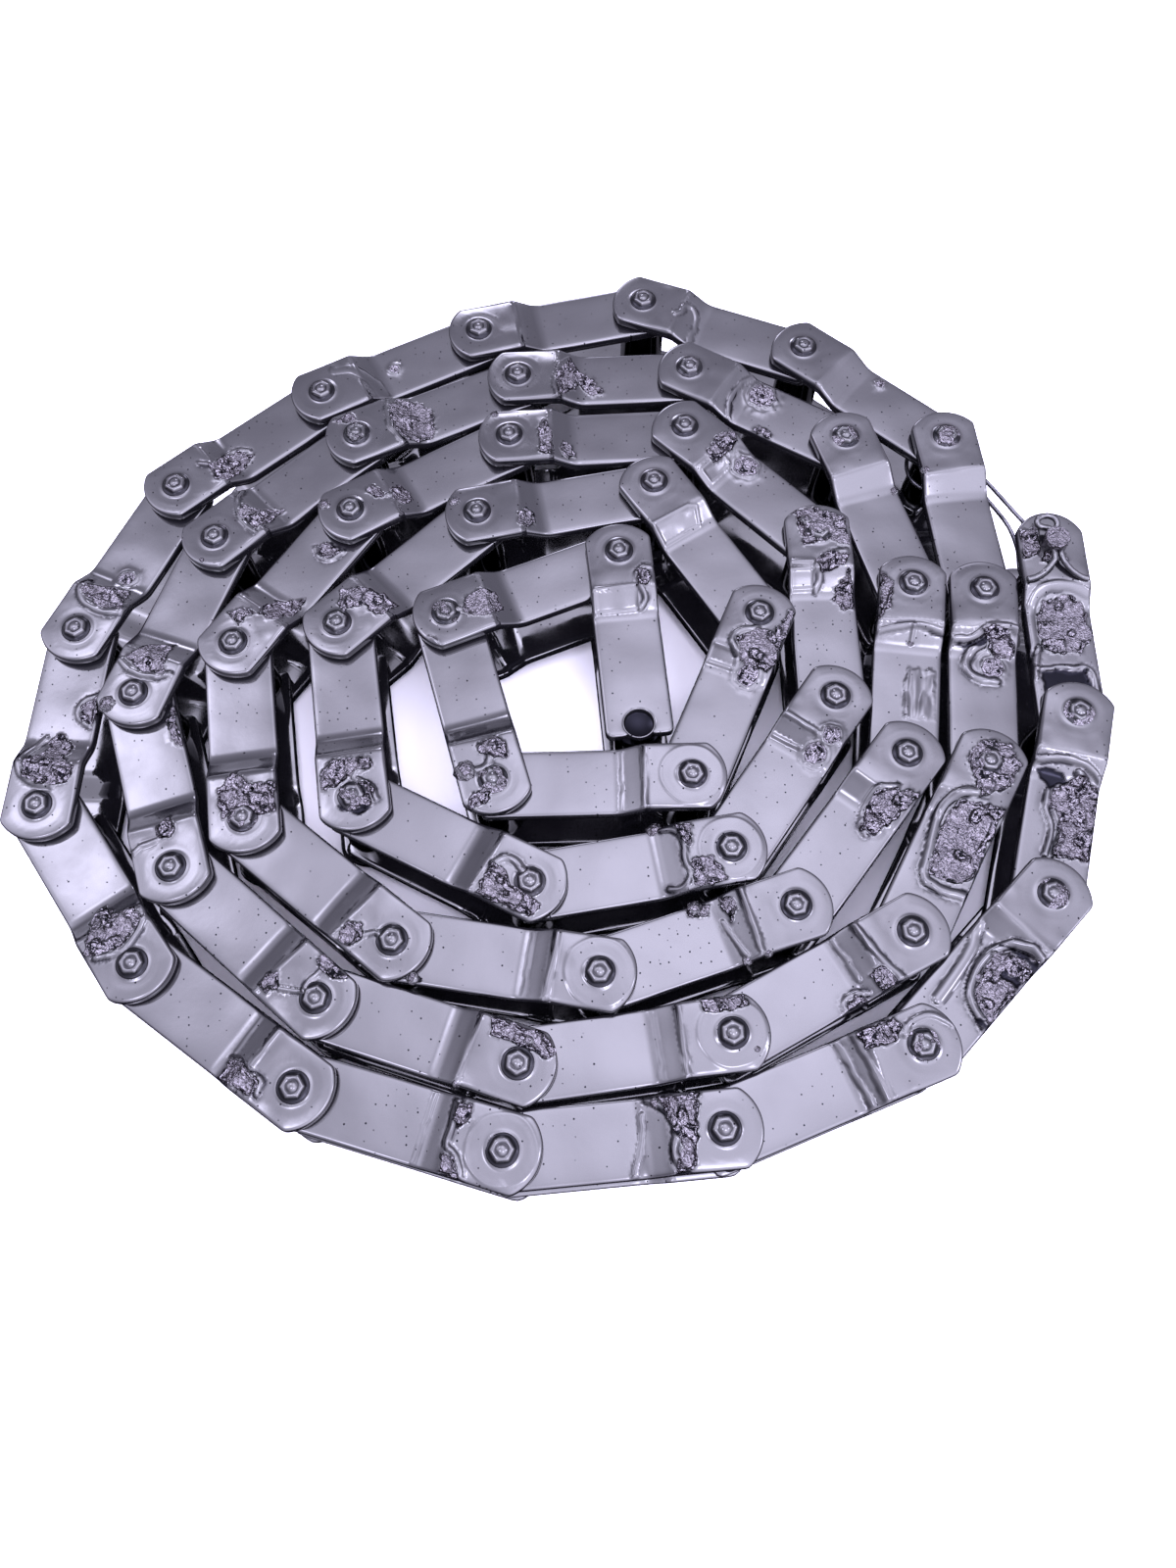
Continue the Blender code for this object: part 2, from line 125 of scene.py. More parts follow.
# What the coating does on each link's upper plate. Each link's features are a kind, then its (s, v) places,
# then single numbers, in millimetres.
# film: a crinkled patch inside this outline. ripple: a scuffed one. tear: a black hole in the coating. pane: a
# smooth window on the bend with a thick rim. lip: a raised ridge along this line, with its width and height.
# pit: a crater, with its middle and radius. blob: a bubble or drip, with its middle, its radius and its level
# from the plate's. puddle: a raised round rim about the pin, with its radius. head: how crumpled the pin's head
# is. lean and tilt: how far the plate, or its raised end, rises along and across.
FEATURES = read_features("""
1: pane 38.6,9.6 45.2,9.4 45.4,-4.6 38.8,-4.2 film 45.4,-4.2 50.6,-4.6 51.6,-7.6 48,-8.6 45.2,-7.4 lip 38.8,-4.8
    41.5,-7.2 45.5,-5.2 49.5,-4 52,-6.4 51.4,-9.6 0.7 0.5
2: film 41.6,5.2 46,6.3 51.6,5 53.4,1 51.6,-2.6 46,-3.4 42,-1.8 lip 53.2,1.4 54.6,0.4 56.4,0.6 0.7 0.5 head 0.55
    lip 65.2,8.2 66.4,6 0.4 0.3
3: film 45.8,5 49,6.6 53.4,5.6 52,1.6 49,-2.2 46.2,-0.4 film 61.5,0 65.6,-3.4 65.8,-9 62.6,-8.4 60.4,-3.4 blob
    53.9 -7.2 3.6 -0.6 head 0.6 lip 47.6,-1.2 50.6,1.6 54,0 54.6,-4 0.8 0.5
4: puddle 9.3 lip 38,9.8 38.3,0 38,-9.8 0.5 0.12 lip 44.6,9.8 44.8,0 44.6,-9.8 0.7 0.22
5: pane 38.8,9.8 43.6,9.8 43.4,1.6 39,0.8 film 41.6,0 48,3.6 53.2,-1 54.2,-6.4 63.6,-8.8 62.8,-10.2 42.4,-10.2
    40.2,-5.4 pit 38.4 -3.8 3.4 lip 43.6,1.8 47,5.4 51,3.6 53.4,-1.2 0.8 0.6
6: pane 38.2,9.2 45.2,9.4 44.8,-4 43.6,-6.2 38.4,-4.2
7: film 41,6.6 43.6,9.2 46.4,7.4 46.2,3.6 43,0.8 41.2,3.2 blob 65.4 -5.4 2.3 -0.8
8: film 40.8,7.6 46,8.4 49,5.4 48.4,1.6 53.6,-1.6 55.4,-0.6 54.4,-5 50.2,-8.2 44.6,-3.6 41.4,1.6 head 0.45
9: film 47.4,6 50.6,7 50.8,2 53,-1 55.4,-4.4 55.2,-8.8 49,-9 46.6,-4 film 54.6,4.8 58,6.4 62.6,4.6 63.4,0.4
    60.6,-3.2 57,-1.4 54.6,1.4 pit 50.6 -3.8 2.6 tear 63.2,5 64.8,1 63.2,-3.6 61.2,-4.6 62.8,-0.6 62.4,3 head
    0.6 lip 49.8,5.4 51.6,1.6 53.2,0.4 54.2,2.6 56.6,5.8 60.6,6.6 0.8 0.6
10: film 47,-0.4 50.6,0.2 53.6,-3 65.2,-4.6 63.8,-9.4 46.8,-9.6 46.2,-4.4 lip 46.6,-0.2 49,3.6 52.4,3.8 55.4,2
    0.9 0.6 head 0.3
11: puddle 9.2 film 46.6,-1.6 52.8,-1.8 56,-8.8 53.4,-10.2 46,-9.4 film 44.6,9.6 48.6,8.8 47.2,2.4 45.6,3.4 lip
    40.2,9.6 44,8.4 45.8,3.6 44.6,-1.6 46.4,-6.2 42.4,-9.6 39.2,-8.4 0.7 0.5 blob 38.4 10.2 2.6 -1.4
12: pit 39.9 -4.6 3.2 pit 46.6 -5.8 2.9 lip 38.6,9.8 39,0 0.5 0.2 lip 45.6,9.8 45.2,-2 0.7 0.25
13: pane 39.2,10 47.6,10 47.4,2.4 39.4,2.6 film 43.6,0.6 47.4,2 50.4,-3 50,-8.8 46.4,-7.4 43.8,-3.6 film
    31.6,-6.2 36,-3.2 41.2,-5.4 44.4,-8.6 39,-10 32,-9.4 film 53.4,5.2 60,6.4 66.4,7 67.6,0 64,-8.8 53,-9.8
    55.4,-3 head 1 blob 62.6 3.8 2 0.6 lip 38.6,2 42,0.4 46.4,1.8 50.2,-2.4 51.4,-8 0.8 0.5
14: pit 35 -4.8 4.2 film 42.4,3.6 46.8,2.4 48.4,-4.6 46,-10.2 42,-9 pane 38.6,8.2 43,8.2 43,-1 38.8,-1.2
15: lean 0 0.4 film 37.2,7.2 40.4,8.6 42.6,5.6 41,1.6 37.6,3.2 film 45,9.8 48.8,8 49,-1.4 47,-5 44.6,-1 blob
    63.6 -8.8 1.9 -1.2
16: film 38.6,4.6 42,6.8 45,4.2 44.4,-0.8 40,-1.6 film 46.6,1.4 49.8,0.6 51.2,-3.4 49.2,-5.8 46.8,-2.6 lip
    44.6,1.8 46,1.4 0.7 0.4 blob 65.2 -6 2.4 -0.8
17: film 33,7 39,8.6 46,5.8 46.6,0.2 38.8,0 film 46.6,0.6 49,-2.8 53.8,-1.8 51.8,-7.6 48.4,-5.4 film 13.4,5.4
    17.4,3.4 18.2,-0.6 14.4,-2.2 12,0.8 lip 12.4,5.8 17.6,4.6 18.8,0.8 16.4,-2.6 0.6 0.4
18: film 49.2,9.6 57.6,9.8 59,4 55,1.2 58.4,-6.4 50.2,-7.2 44.6,-2.2 48.6,3.2 head 0.6
19: film 45.2,-3.4 48.8,-2.2 52,-4.8 51,-8.8 46.6,-9.4 lip 51.4,-4.2 53.2,-1.4 54.8,-1 0.6 0.5 blob 70 -4.4 1.8
    -1.4 head 0.2
20: puddle 9.8 lip 38.4,9.8 38.6,-9.8 0.5 0.12 lip 45.4,9.8 45.6,-8.6 0.8 0.25 blob 46.3 -9.2 1.4 -0.6
21: film 29.2,9.6 33,10 36.2,8.6 34.8,6.2 30.4,6.8 blob 32 9.4 2.3 -0.4 film 39.4,9.8 43.2,8.6 43,4.2 39.8,1.6
    blob 40.6 -9.6 1.6 -0.8 blob 46.4 -9.7 1.7 -0.8 lip 38,3 39.4,-3.6 40.6,-8.6 0.6 0.3 lip 45.4,9.8 45,-8.8
    0.8 0.3
22: film 31.6,-2 37.6,0.2 44,0.6 47,-4 50.6,-9.8 44,-9.4 38.4,-8 32.2,-6.2 lip 31,-4 33,-0.8 38,1 44.8,1.4
    47.6,-3.2 0.8 0.5 pit 34.6 -4.2 2.4
23: lean 0 -0.3 ripple 13.6,0.6 24,2.2 31.4,-0.6 30.6,-9 13.4,-9.2 film 45,10 61.6,9.8 58.4,6.4 50.2,6.2 lip
    41.4,9.9 43.6,3 44.2,-4 43,-9.9 0.8 0.5 blob 39 -0.6 1 0 lip 39,-0.6 43.4,-0.8 0.5 0.3 head 0.3
24: blob 36.6 -9.2 1.8 -0.7 head 0.6
25: pit 32.6 -4.4 4.6 lip 38.4,9.6 41,4 41.2,-4 38.8,-9.9 0.7 0.5 film 22.4,9.8 28.8,9.8 27.6,7.2 23.6,7.2 head
    0.4
26: lean 0 0.2 film 29.8,5.6 33.6,7 38,3.4 44.6,9.4 45.8,0.6 40.6,-7.4 37.6,-3.2 33.4,0.4 lip 45.2,10 46.8,4
    45,-3 41,-8 0.6 0.4
27: lean 0 0.15 film 35.8,9.8 44.4,9.8 46.8,2.4 44.6,-6.6 41,-10 34.8,-6.8 31.6,-1.2 33,4.6 film 56,-5.2
    60.4,-5.6 64.4,-8.6 58.2,-9 head 0.5 lip 45.6,10 48,2.4 45.8,-6.8 42.4,-9.9 0.6 0.4
28: lean 0 0.35 film 35.2,4.4 41.4,7 47.6,7.4 48.6,-1.2 45,-3.6 41.2,0.6 lip 48.2,7.6 49.6,0 45,-6.6 40.6,-9.9
    0.6 0.4 blob 67 4.2 0.8 0
29: film 38.2,3.6 44,4.2 50.4,6.2 51.6,-0.6 48.6,-7.6 41.2,-3.4 lip 49.6,7.8 52.6,2.4 52.6,-4.2 49.8,-8.6 0.9
    0.5 blob 64.6 -6 3 -0.8
30: tilt 0.4 0.3 film 42.4,2.4 46,4 49.8,2 49.6,-2.2 45.4,-2 lip 49.2,-2.4 49.4,-6.4 51,-9.6 0.6 0.5 film 5,9.8
    20.6,9.8 17.6,7.4 10.4,7
31: film 51.4,9.8 61,9.8 58.8,6.6 54.4,6.2 51.8,8 film 43,-4 46,-2.2 49,-4.4 47.6,-7.8 43.8,-7.4 lip 54.6,6.2
    54,0.6 55.2,-0.8 0.6 0.5 lip 49,-4.6 52.6,-2.6 54.8,-1 0.6 0.5
32: film 47.4,9.8 62.4,9.8 68.2,6.2 66,3.6 58,4.4 49.2,5.2 blob 59.6 6.6 1.6 0.1 blob 44.9 -9.8 1.4 -0.8 head
    0.2
33: puddle 9.4 film 51.6,9.9 63.6,9.9 64.8,6.8 62.4,6.2 52,6.4 lip 45,9.8 45.2,-9.8 0.7 0.2 lip 38.2,9.8
    38.4,-9.8 0.5 0.12 blob 64.6 -5.2 0.9 0
34: film 31.6,-9.9 32.6,-7.4 36,-7.4 38,-9.9 film 41.6,-4.2 45.6,-3.6 47.6,-9.9 42.6,-9.9 lip 30.8,-9.8 32,-6.6
    36.6,-6.4 38.8,-8.4 0.7 0.5 lip 38.6,9.8 39,-4 0.6 0.25 lip 45.4,9.8 46.6,-3 49,-9.8 0.8 0.4
35: film 19.6,3 28,3.6 36,4.6 43.6,3.6 45,-2.4 46.4,-9.8 24,-9.8 20,-6 lip 17.6,-9.6 16.4,-2 17.4,3.6 24,4.2
    32,6 41,7 46,3.2 48.6,-2.4 1.2 0.9 film 46.4,-1.6 52,2.6 58,6.4 64.6,4.2 66.4,-3.6 62,-8.6 52.4,-8 head 0.9
36: tilt -0.5 -0.4 pit 33.4 -2.8 3.6 film 36.6,-3.6 40.8,-1 44,1.2 45.2,-2 44.6,-6 40.6,-9.6 36.2,-8.6 lip
    28.4,-4 28.6,1 31,4.6 35,5.6 38.6,3.2 40.4,0.4 1.1 0.7 lip 41,9.9 41.3,5.5 42.3,2.5 44.8,-0.5 45.9,-4.4
    44.6,-9.6 1 0.7 tear 39.8,9 40.6,3 42.6,0.6 41.4,-1.6 39.4,0.6 39,5
37: blob 46.3 9.2 1.9 -0.6 head 0.6
38: pit 30.6 -7.2 1.6
39: lip 38.6,9.8 38.4,-1 41.6,-5 44.2,-3.4 44.6,0.4 46.2,2 0.7 0.3
40:
41: pit 32.2 -0.8 1.8 lip 40,9.8 41,2 46,-4.4 51,-6 1.6 0.2
42: lean 0 0.15 film 32.4,4 36,6 44,9.6 47.4,6.4 46.4,1 40,-1 34.4,-1.2 lip 32,1 35,-2.4 40,-1.6 44,3 48,-1.8
    0.7 0.5
43: pit 35.4 2 2.6 film 39,6.4 46.8,9.6 49.4,2.4 46.4,-5.6 43.6,-6.2 40.8,0.2 lip 47.6,9.9 50.6,4 50.2,-2
    46.8,-7 42.6,-6.8 1 0.6
44: film 34.4,1 38.4,5.4 44,4.4 46.4,9 51.4,7.2 52.6,0.4 50.4,-6 45.4,-7.2 40.6,-1.4 35.6,-2.8 film 20.8,9.8
    31,9.8 29.4,5.4 24.6,4.2 lip 36,-4 42,-8.4 48,-8.2 52,-3.4 52.8,3 0.9 0.5 lip 20.6,9.8 22.4,5 28,3.4
    31.4,8.6 0.7 0.4
45: film 37.8,1.6 42,2.4 44.4,8.6 49,8 53,1.6 51.8,-5 48.8,-10 44.6,-6 38.6,-3.4 lip 48.8,9.6 52.6,4.4 54.2,-1.6
    51.4,-7.6 0.7 0.5
46: film 39.2,-4 43.2,-3 47.4,-4 50.8,-3.8 51.2,-8.4 46,-9.4 40,-9.9 lip 38.8,-3.8 42.6,-2.4 46.8,-4.6 50.8,-2.8
    52.2,-7 0.7 0.5 lip 38.4,9.8 38.6,-2 0.5 0.12 lip 45.8,9.8 46,-2 0.7 0.2
47: puddle 9.6 film 44,8 47.4,8.6 48.6,5 46,1.6 43.6,4.4 film 43.8,-5.6 46.6,-4.6 49.6,-9.8 44.2,-9.9 lip
    43.4,8.6 44.2,1.4 43.4,-3.2 47.4,-4 50.6,-9.9 0.7 0.5 lip 36.6,9.8 36.8,-9.8 0.5 0.15
48: film 42.4,9.8 53,9.9 52,2 50,-9.9 44.6,-9.9 47.2,-3.4 44.4,3.6 lip 39.2,9.4 43.4,7.4 47,0.4 44.2,-4 47,-9.9
    0.8 0.6 blob 41.4 8.4 1.6 0 lip 37.6,6 36.8,-2 34,-9.4 0.6 0.3
49: film 43,9.6 54.6,9.8 56,6.8 52.4,3.8 43.8,4.4 head 0.7 lip 55.4,4.4 58.6,7.2 65,7 69,1.6 0.7 0.4 lip 38,9.8
    39.6,-9.8 0.7 0.3 lip 42.6,9.8 43.4,-9.8 0.7 0.3
50: film 17.6,-9.9 20.4,-2.4 27.6,0.4 35.6,1 39.6,-3.6 40.6,-9.9 lip 16.6,-9.8 19.6,-1.6 26,2 34,2.6 40,0
    42.6,-6 41.4,-9.9 1.1 1 lip 14,4.6 22,5.2 32,6.4 38,9.6 1.4 0.5 head 0.9 tear 37.6,1.6 39.4,-0.4 40.4,-4.4
    40,-9.9 38.4,-9.9 38.4,-3.6 tilt 0.3 0.3 tear 30.6,-3.2 33,-3.6 34,-9.6 31.6,-9.8 tear 16.2,-6 18,-7
    17.4,-9.9 15.6,-9.9 blob 26.4 0.6 1.7 0.2 lip 34.6,0.6 37.4,-4.2 36.4,-9.4 0.9 0.8
51: film 12.8,0.4 20,0 26,1 29,3.8 33.6,2.8 39.4,-3.4 38,-9.9 14,-9.9 lip 13,2.6 22,1.4 27,4.6 33,4.4 0.8 0.7
    lip 13,0.4 22,-0.6 27.4,2.2 0.7 0.6 tear 38.8,9.2 40.2,5.6 39,0.6 36.6,-1.6 35.4,2 33.8,3.6 35.6,6.4 lip
    41,9.6 43.4,2 42.4,-6 39.4,-9.9 0.8 0.6 head 1 lip 34.6,-5.4 37.6,-6.6 40.4,-3 0.9 0.9
52: film 21.6,2.8 25,6.4 34,6.8 40,4.6 41.6,-3.4 38.6,-8.2 28,-9.6 22.6,-5.6 lip 14,9.8 21,8.6 24,7.4 0.9 0.6
    lip 23.6,8.6 38,9 43.4,5.4 44.6,-2 42,-9 1.2 0.4 film 53.6,9.9 63.4,9.9 64.6,4.6 58.6,3.4 54.6,5.6 film
    52.6,4.6 56,3 55.6,-3.6 53.2,-4 tear 9,7.4 15.6,8 16.6,3 16,-2 16.8,-6.4 9,-7.2 lip 16.6,9.6 17.4,3 17,-2.4
    17.8,-6 15.4,-8.4 9,-8.6 0.6 0.5
""")

# The cotter's bent legs and eye, from the connecting pin, and the tie wire's loop, from the coil's middle and
# from mid-height, as in the source.
COTTER_ROUTE = read_places("""
-10.5,-13,1.4 -8.3,-12.5,1.4 -5.6,-11.1,1.5 -3.2,-9,1.8 -1.5,-7,2.4 -1,-5,2.7 -1,0,2.7 -1,4.2,2.7 -2.9,4.9,2.8
-4.6,5.7,3 -4.8,7.3,3.2 -3.3,8.6,3.3 -1.2,8.9,3.3 0.8,7.9,3.2 1.5,6.2,3 1.1,4.4,2.7 1,0,2.7 1,-5,2.7
1.6,-7.2,2.3 3.3,-9.8,1.7 5.2,-11.8,1.5 7,-13,1.4 8.5,-13.6,1.4
""")
TIE_ROUTE = read_places("""
161,41,4.4 157.6,50.6,4.6 151.7,60.5,4.8 145.6,70.8,4.8 139.6,80.4,4.6 135,88.4,4.2 128.5,91.6,3.8 122,89.4,3.2
118.8,83.6,2.6 119.4,77,2.2 123.6,72.9,2 129.6,72.4,2.2 135.6,74.4,2.6 140.8,71.6,3.2 145.1,64.1,3.8
149.2,55.4,4 150.9,47,3.6 150.7,39,3 152.4,35,2.8 156.2,33.5,3 160,35.4,3.6
""")
COTTER_WIRE = 0.95
TIE_WIRE = 0.7

# The photograph's camera, in metres, with the sensor's long side along the picture's long side
CAMERA_PLACE = (0.00557, -0.1686, 0.3629)
CAMERA_TILT = 21.72
CAMERA_ROLL = 1.451
CAMERA_LENS = 27.12

# The sky's soft lobes of light: strength, sharpness, and the way to their middle
SKY_FILL = 0.17
HORIZON_GLOW = 2.2
HORIZON_DEPTH = 0.08
HORIZON_EDGE = 0.03
SKY_TINT = (0.93, 0.90, 1.17, 1.0)
SKY_LOBES = [
    (7.2, 3.2, (0.34, -0.49, 0.80)), (4.6, 14.0, (-0.722, 0.200, 0.663)), (5.4, 22.0, (0.071, 0.292, 0.954)),
    (0.7, 3.0, (0.0, 0.75, 0.66)), (9.0, 120.0, (-0.40, 0.34, 0.85)), (16.0, 200.0, (0.16, -0.37, 0.91)),
    (16.0, 200.0, (-0.30, -0.22, 0.93)), (16.0, 200.0, (0.66, -0.16, 0.73)), (16.0, 200.0, (-0.10, 0.90, 0.42)),
]


# Smooth seeded noise

def lattice(i, j, seed):
    n = (i.astype(np.int64) * 374761393 + j.astype(np.int64) * 668265263 + seed * 974711) & 0xFFFFFFFF
    n = ((n ^ (n >> 13)) * 1274126177) & 0xFFFFFFFF
    n = n ^ (n >> 16)
    return (n & 0xFFFF) / 32767.5 - 1.0


def noise(s, v, size, seed):
    """Smooth noise from -1 to 1 with features of about this size."""
    x, y = s / size + 1000.0, v / size + 1000.0
    i, j = np.floor(x), np.floor(y)
    a, b = x - i, y - j
    a, b = a * a * (3 - 2 * a), b * b * (3 - 2 * b)
    low = lattice(i, j, seed) * (1 - a) + lattice(i + 1, j, seed) * a
    high = lattice(i, j + 1, seed) * (1 - a) + lattice(i + 1, j + 1, seed) * a
    return low * (1 - b) + high * b


def crumple(s, v, size, seed):
    """Folded foil: sharp creases between smooth facets, from 0 to about 1."""
    bend = 0.35 * size * noise(s, v, 1.3 * size, seed + 7)
    total = np.abs(noise(s + bend, v - bend, size, seed))
    total += 0.5 * np.abs(noise(0.8 * s + 0.6 * v, 0.8 * v - 0.6 * s, 0.55 * size, seed + 1))
    return total / 1.1


def ramp(value, low, high):
    t = np.clip((value - low) / (high - low), 0.0, 1.0)
    return t * t * (3 - 2 * t)


def bell(value, width):
    return np.exp(-(value / width) ** 2)


def full_turn(sides):
    return np.linspace(0, 2 * math.pi, sides, endpoint=False)


# Plans and distances

def from_line(s, v, points, closed=False):
    """Each place's distance to a line of points."""
    stops = list(points[1:]) + ([points[0]] if closed else [])
    best = np.full(s.shape, 1e9)
    for (a, b), (c, d) in zip(points, stops):
        run, rise = c - a, d - b
        t = np.clip(((s - a) * run + (v - b) * rise) / max(run * run + rise * rise, 1e-9), 0, 1)
        best = np.minimum(best, np.hypot(s - a - t * run, v - b - t * rise))
    return best


def inside(s, v, points):
    """Distance to an outline, positive inside it."""
    within = np.zeros(s.shape, bool)
    for (a, b), (c, d) in zip(points, points[1:] + points[:1]):
        if b != d:
            within ^= ((b > v) != (d > v)) & (s < (c - a) * (v - b) / (d - b) + a)
    return np.where(within, 1.0, -1.0) * from_line(s, v, points, True)


def rounded(points):
    """A line of points bent smoothly, by cutting its corners twice."""
    for _ in range(2):
        line = [points[0]]
        for (a, b), (c, d) in zip(points, points[1:]):
            line += [(0.75 * a + 0.25 * c, 0.75 * b + 0.25 * d), (0.25 * a + 0.75 * c, 0.25 * b + 0.75 * d)]
        points = line + [points[-1]]
    return points


def arc(s, v, radius, start, stop, steps):
    return [(s + radius * math.cos(a), v + radius * math.sin(a)) for a in np.linspace(start, stop, steps + 1)]


def near_horns(points):
    """1 at the two horns of plate beside the open bore's mouth, falling to 0 away from them."""
    return bell(np.hypot(points[:, 0] + NARROW_CUT, np.abs(points[:, 1]) - 2.3), 2.0)


def plate_outline(spacing, notched):
    """The plate from above, as evenly spaced points, anticlockwise. The open bore cuts a notched one's end."""
    sweep = math.asin(PLATE_HALF / END_RADIUS)
    corner = NARROW_CORNER
    path = arc(END_CENTRE, 0.0, END_RADIUS, -sweep, sweep, 40)
    path += arc(corner - NARROW_CUT, PLATE_HALF - corner, corner, 0.5 * math.pi, math.pi, 8)
    if notched:
        mouth = math.acos(-NARROW_CUT / BORE_RADIUS)
        path += arc(0.0, 0.0, BORE_RADIUS, mouth, -mouth, 40)
    path += arc(corner - NARROW_CUT, corner - PLATE_HALF, corner, math.pi, 1.5 * math.pi, 8)
    path = np.array(path + path[:1])
    run = np.concatenate([[0.0], np.cumsum(np.hypot(*np.diff(path, axis=0).T))])
    count = int(round(run[-1] / spacing))
    at = np.linspace(0, run[-1], count, endpoint=False)
    points = np.stack([np.interp(at, run, path[:, 0]), np.interp(at, run, path[:, 1])], 1)
    weight = near_horns(points)[:, None] if notched else 0.0
    for step in range(14):
        amount = 0.5 if step == 0 else 0.5 * weight
        points = points + amount * (0.5 * (np.roll(points, 1, 0) + np.roll(points, -1, 0)) - points)
    return points


def inward(points):
    """For each outline point, the step that moves the whole outline in by one."""
    ahead = np.roll(points, -1, 0) - points
    ahead /= np.linalg.norm(ahead, axis=1)[:, None]
    behind = np.roll(ahead, 1, 0)
    normal = np.stack([-(ahead + behind)[:, 1], (ahead + behind)[:, 0]], 1)
    normal /= np.linalg.norm(normal, axis=1)[:, None]
    lean = np.abs(normal[:, 0] * -ahead[:, 1] + normal[:, 1] * ahead[:, 0])
    return normal / np.maximum(lean, 0.5)[:, None]


def bar_height(s):
    """The plate's upper face from mid-height: narrow, then the soft S of the bend, then wide."""
    bend, heights = (BEND_START, BEND_END), (NARROW_TOP, WIDE_TOP)
    soft = BEND_SOFTNESS * np.interp(s, bend, (INNER_SOFTER, 1.0))
    steps = np.linspace(-1, 1, 9)
    return sum(np.interp(s + soft * k, bend, heights) for k in steps) / len(steps)


def head_collar(s, v, number):
    """The coating drawn up round the pin's head, with the faint ring that it leaves on the plate."""
    r = np.hypot(s - PITCH, v)
    reach = MENISCUS_RADIUS + 0.25 * noise(s, v, 5.0, 40 + number)
    rise = 0.2 * np.clip((reach - r) / 1.0, 0, 1.2) ** 2
    ring = 0.04 * bell(r - RING_RADIUS - 0.3 * noise(s, v, 6.0, number), 0.35)
    return rise + ring


def crinkled(s, v, seed):
    """The height of loose film and how torn it is: wrinkled sheet, with places of sharp creases and holes."""
    torn = ramp(noise(s, v, 3.2, seed + 4), 0.0, 0.4)
    turn = 1.3 * seed
    along, across = s * math.cos(turn) + v * math.sin(turn), v * math.cos(turn) - s * math.sin(turn)
    bend = 0.8 * noise(s, v, 3.0, seed + 8)
    sheet = 0.32 * np.abs(noise(0.45 * along, across + bend, 1.3, seed + 5)) + 0.25 * noise(s, v, 4.0, seed + 6)
    folds = 1.5 * crumple(0.6 * along, across + bend, 1.9, seed + 2) - 0.45
    return sheet + torn * folds, torn


def roll(distance, width, height):
    """A rolled ridge with a fine groove along each side."""
    body = np.maximum(1 - (distance / width) ** 2, 0) ** 0.8
    return height * body - 0.16 * height * bell(distance - width - 0.15, 0.3)


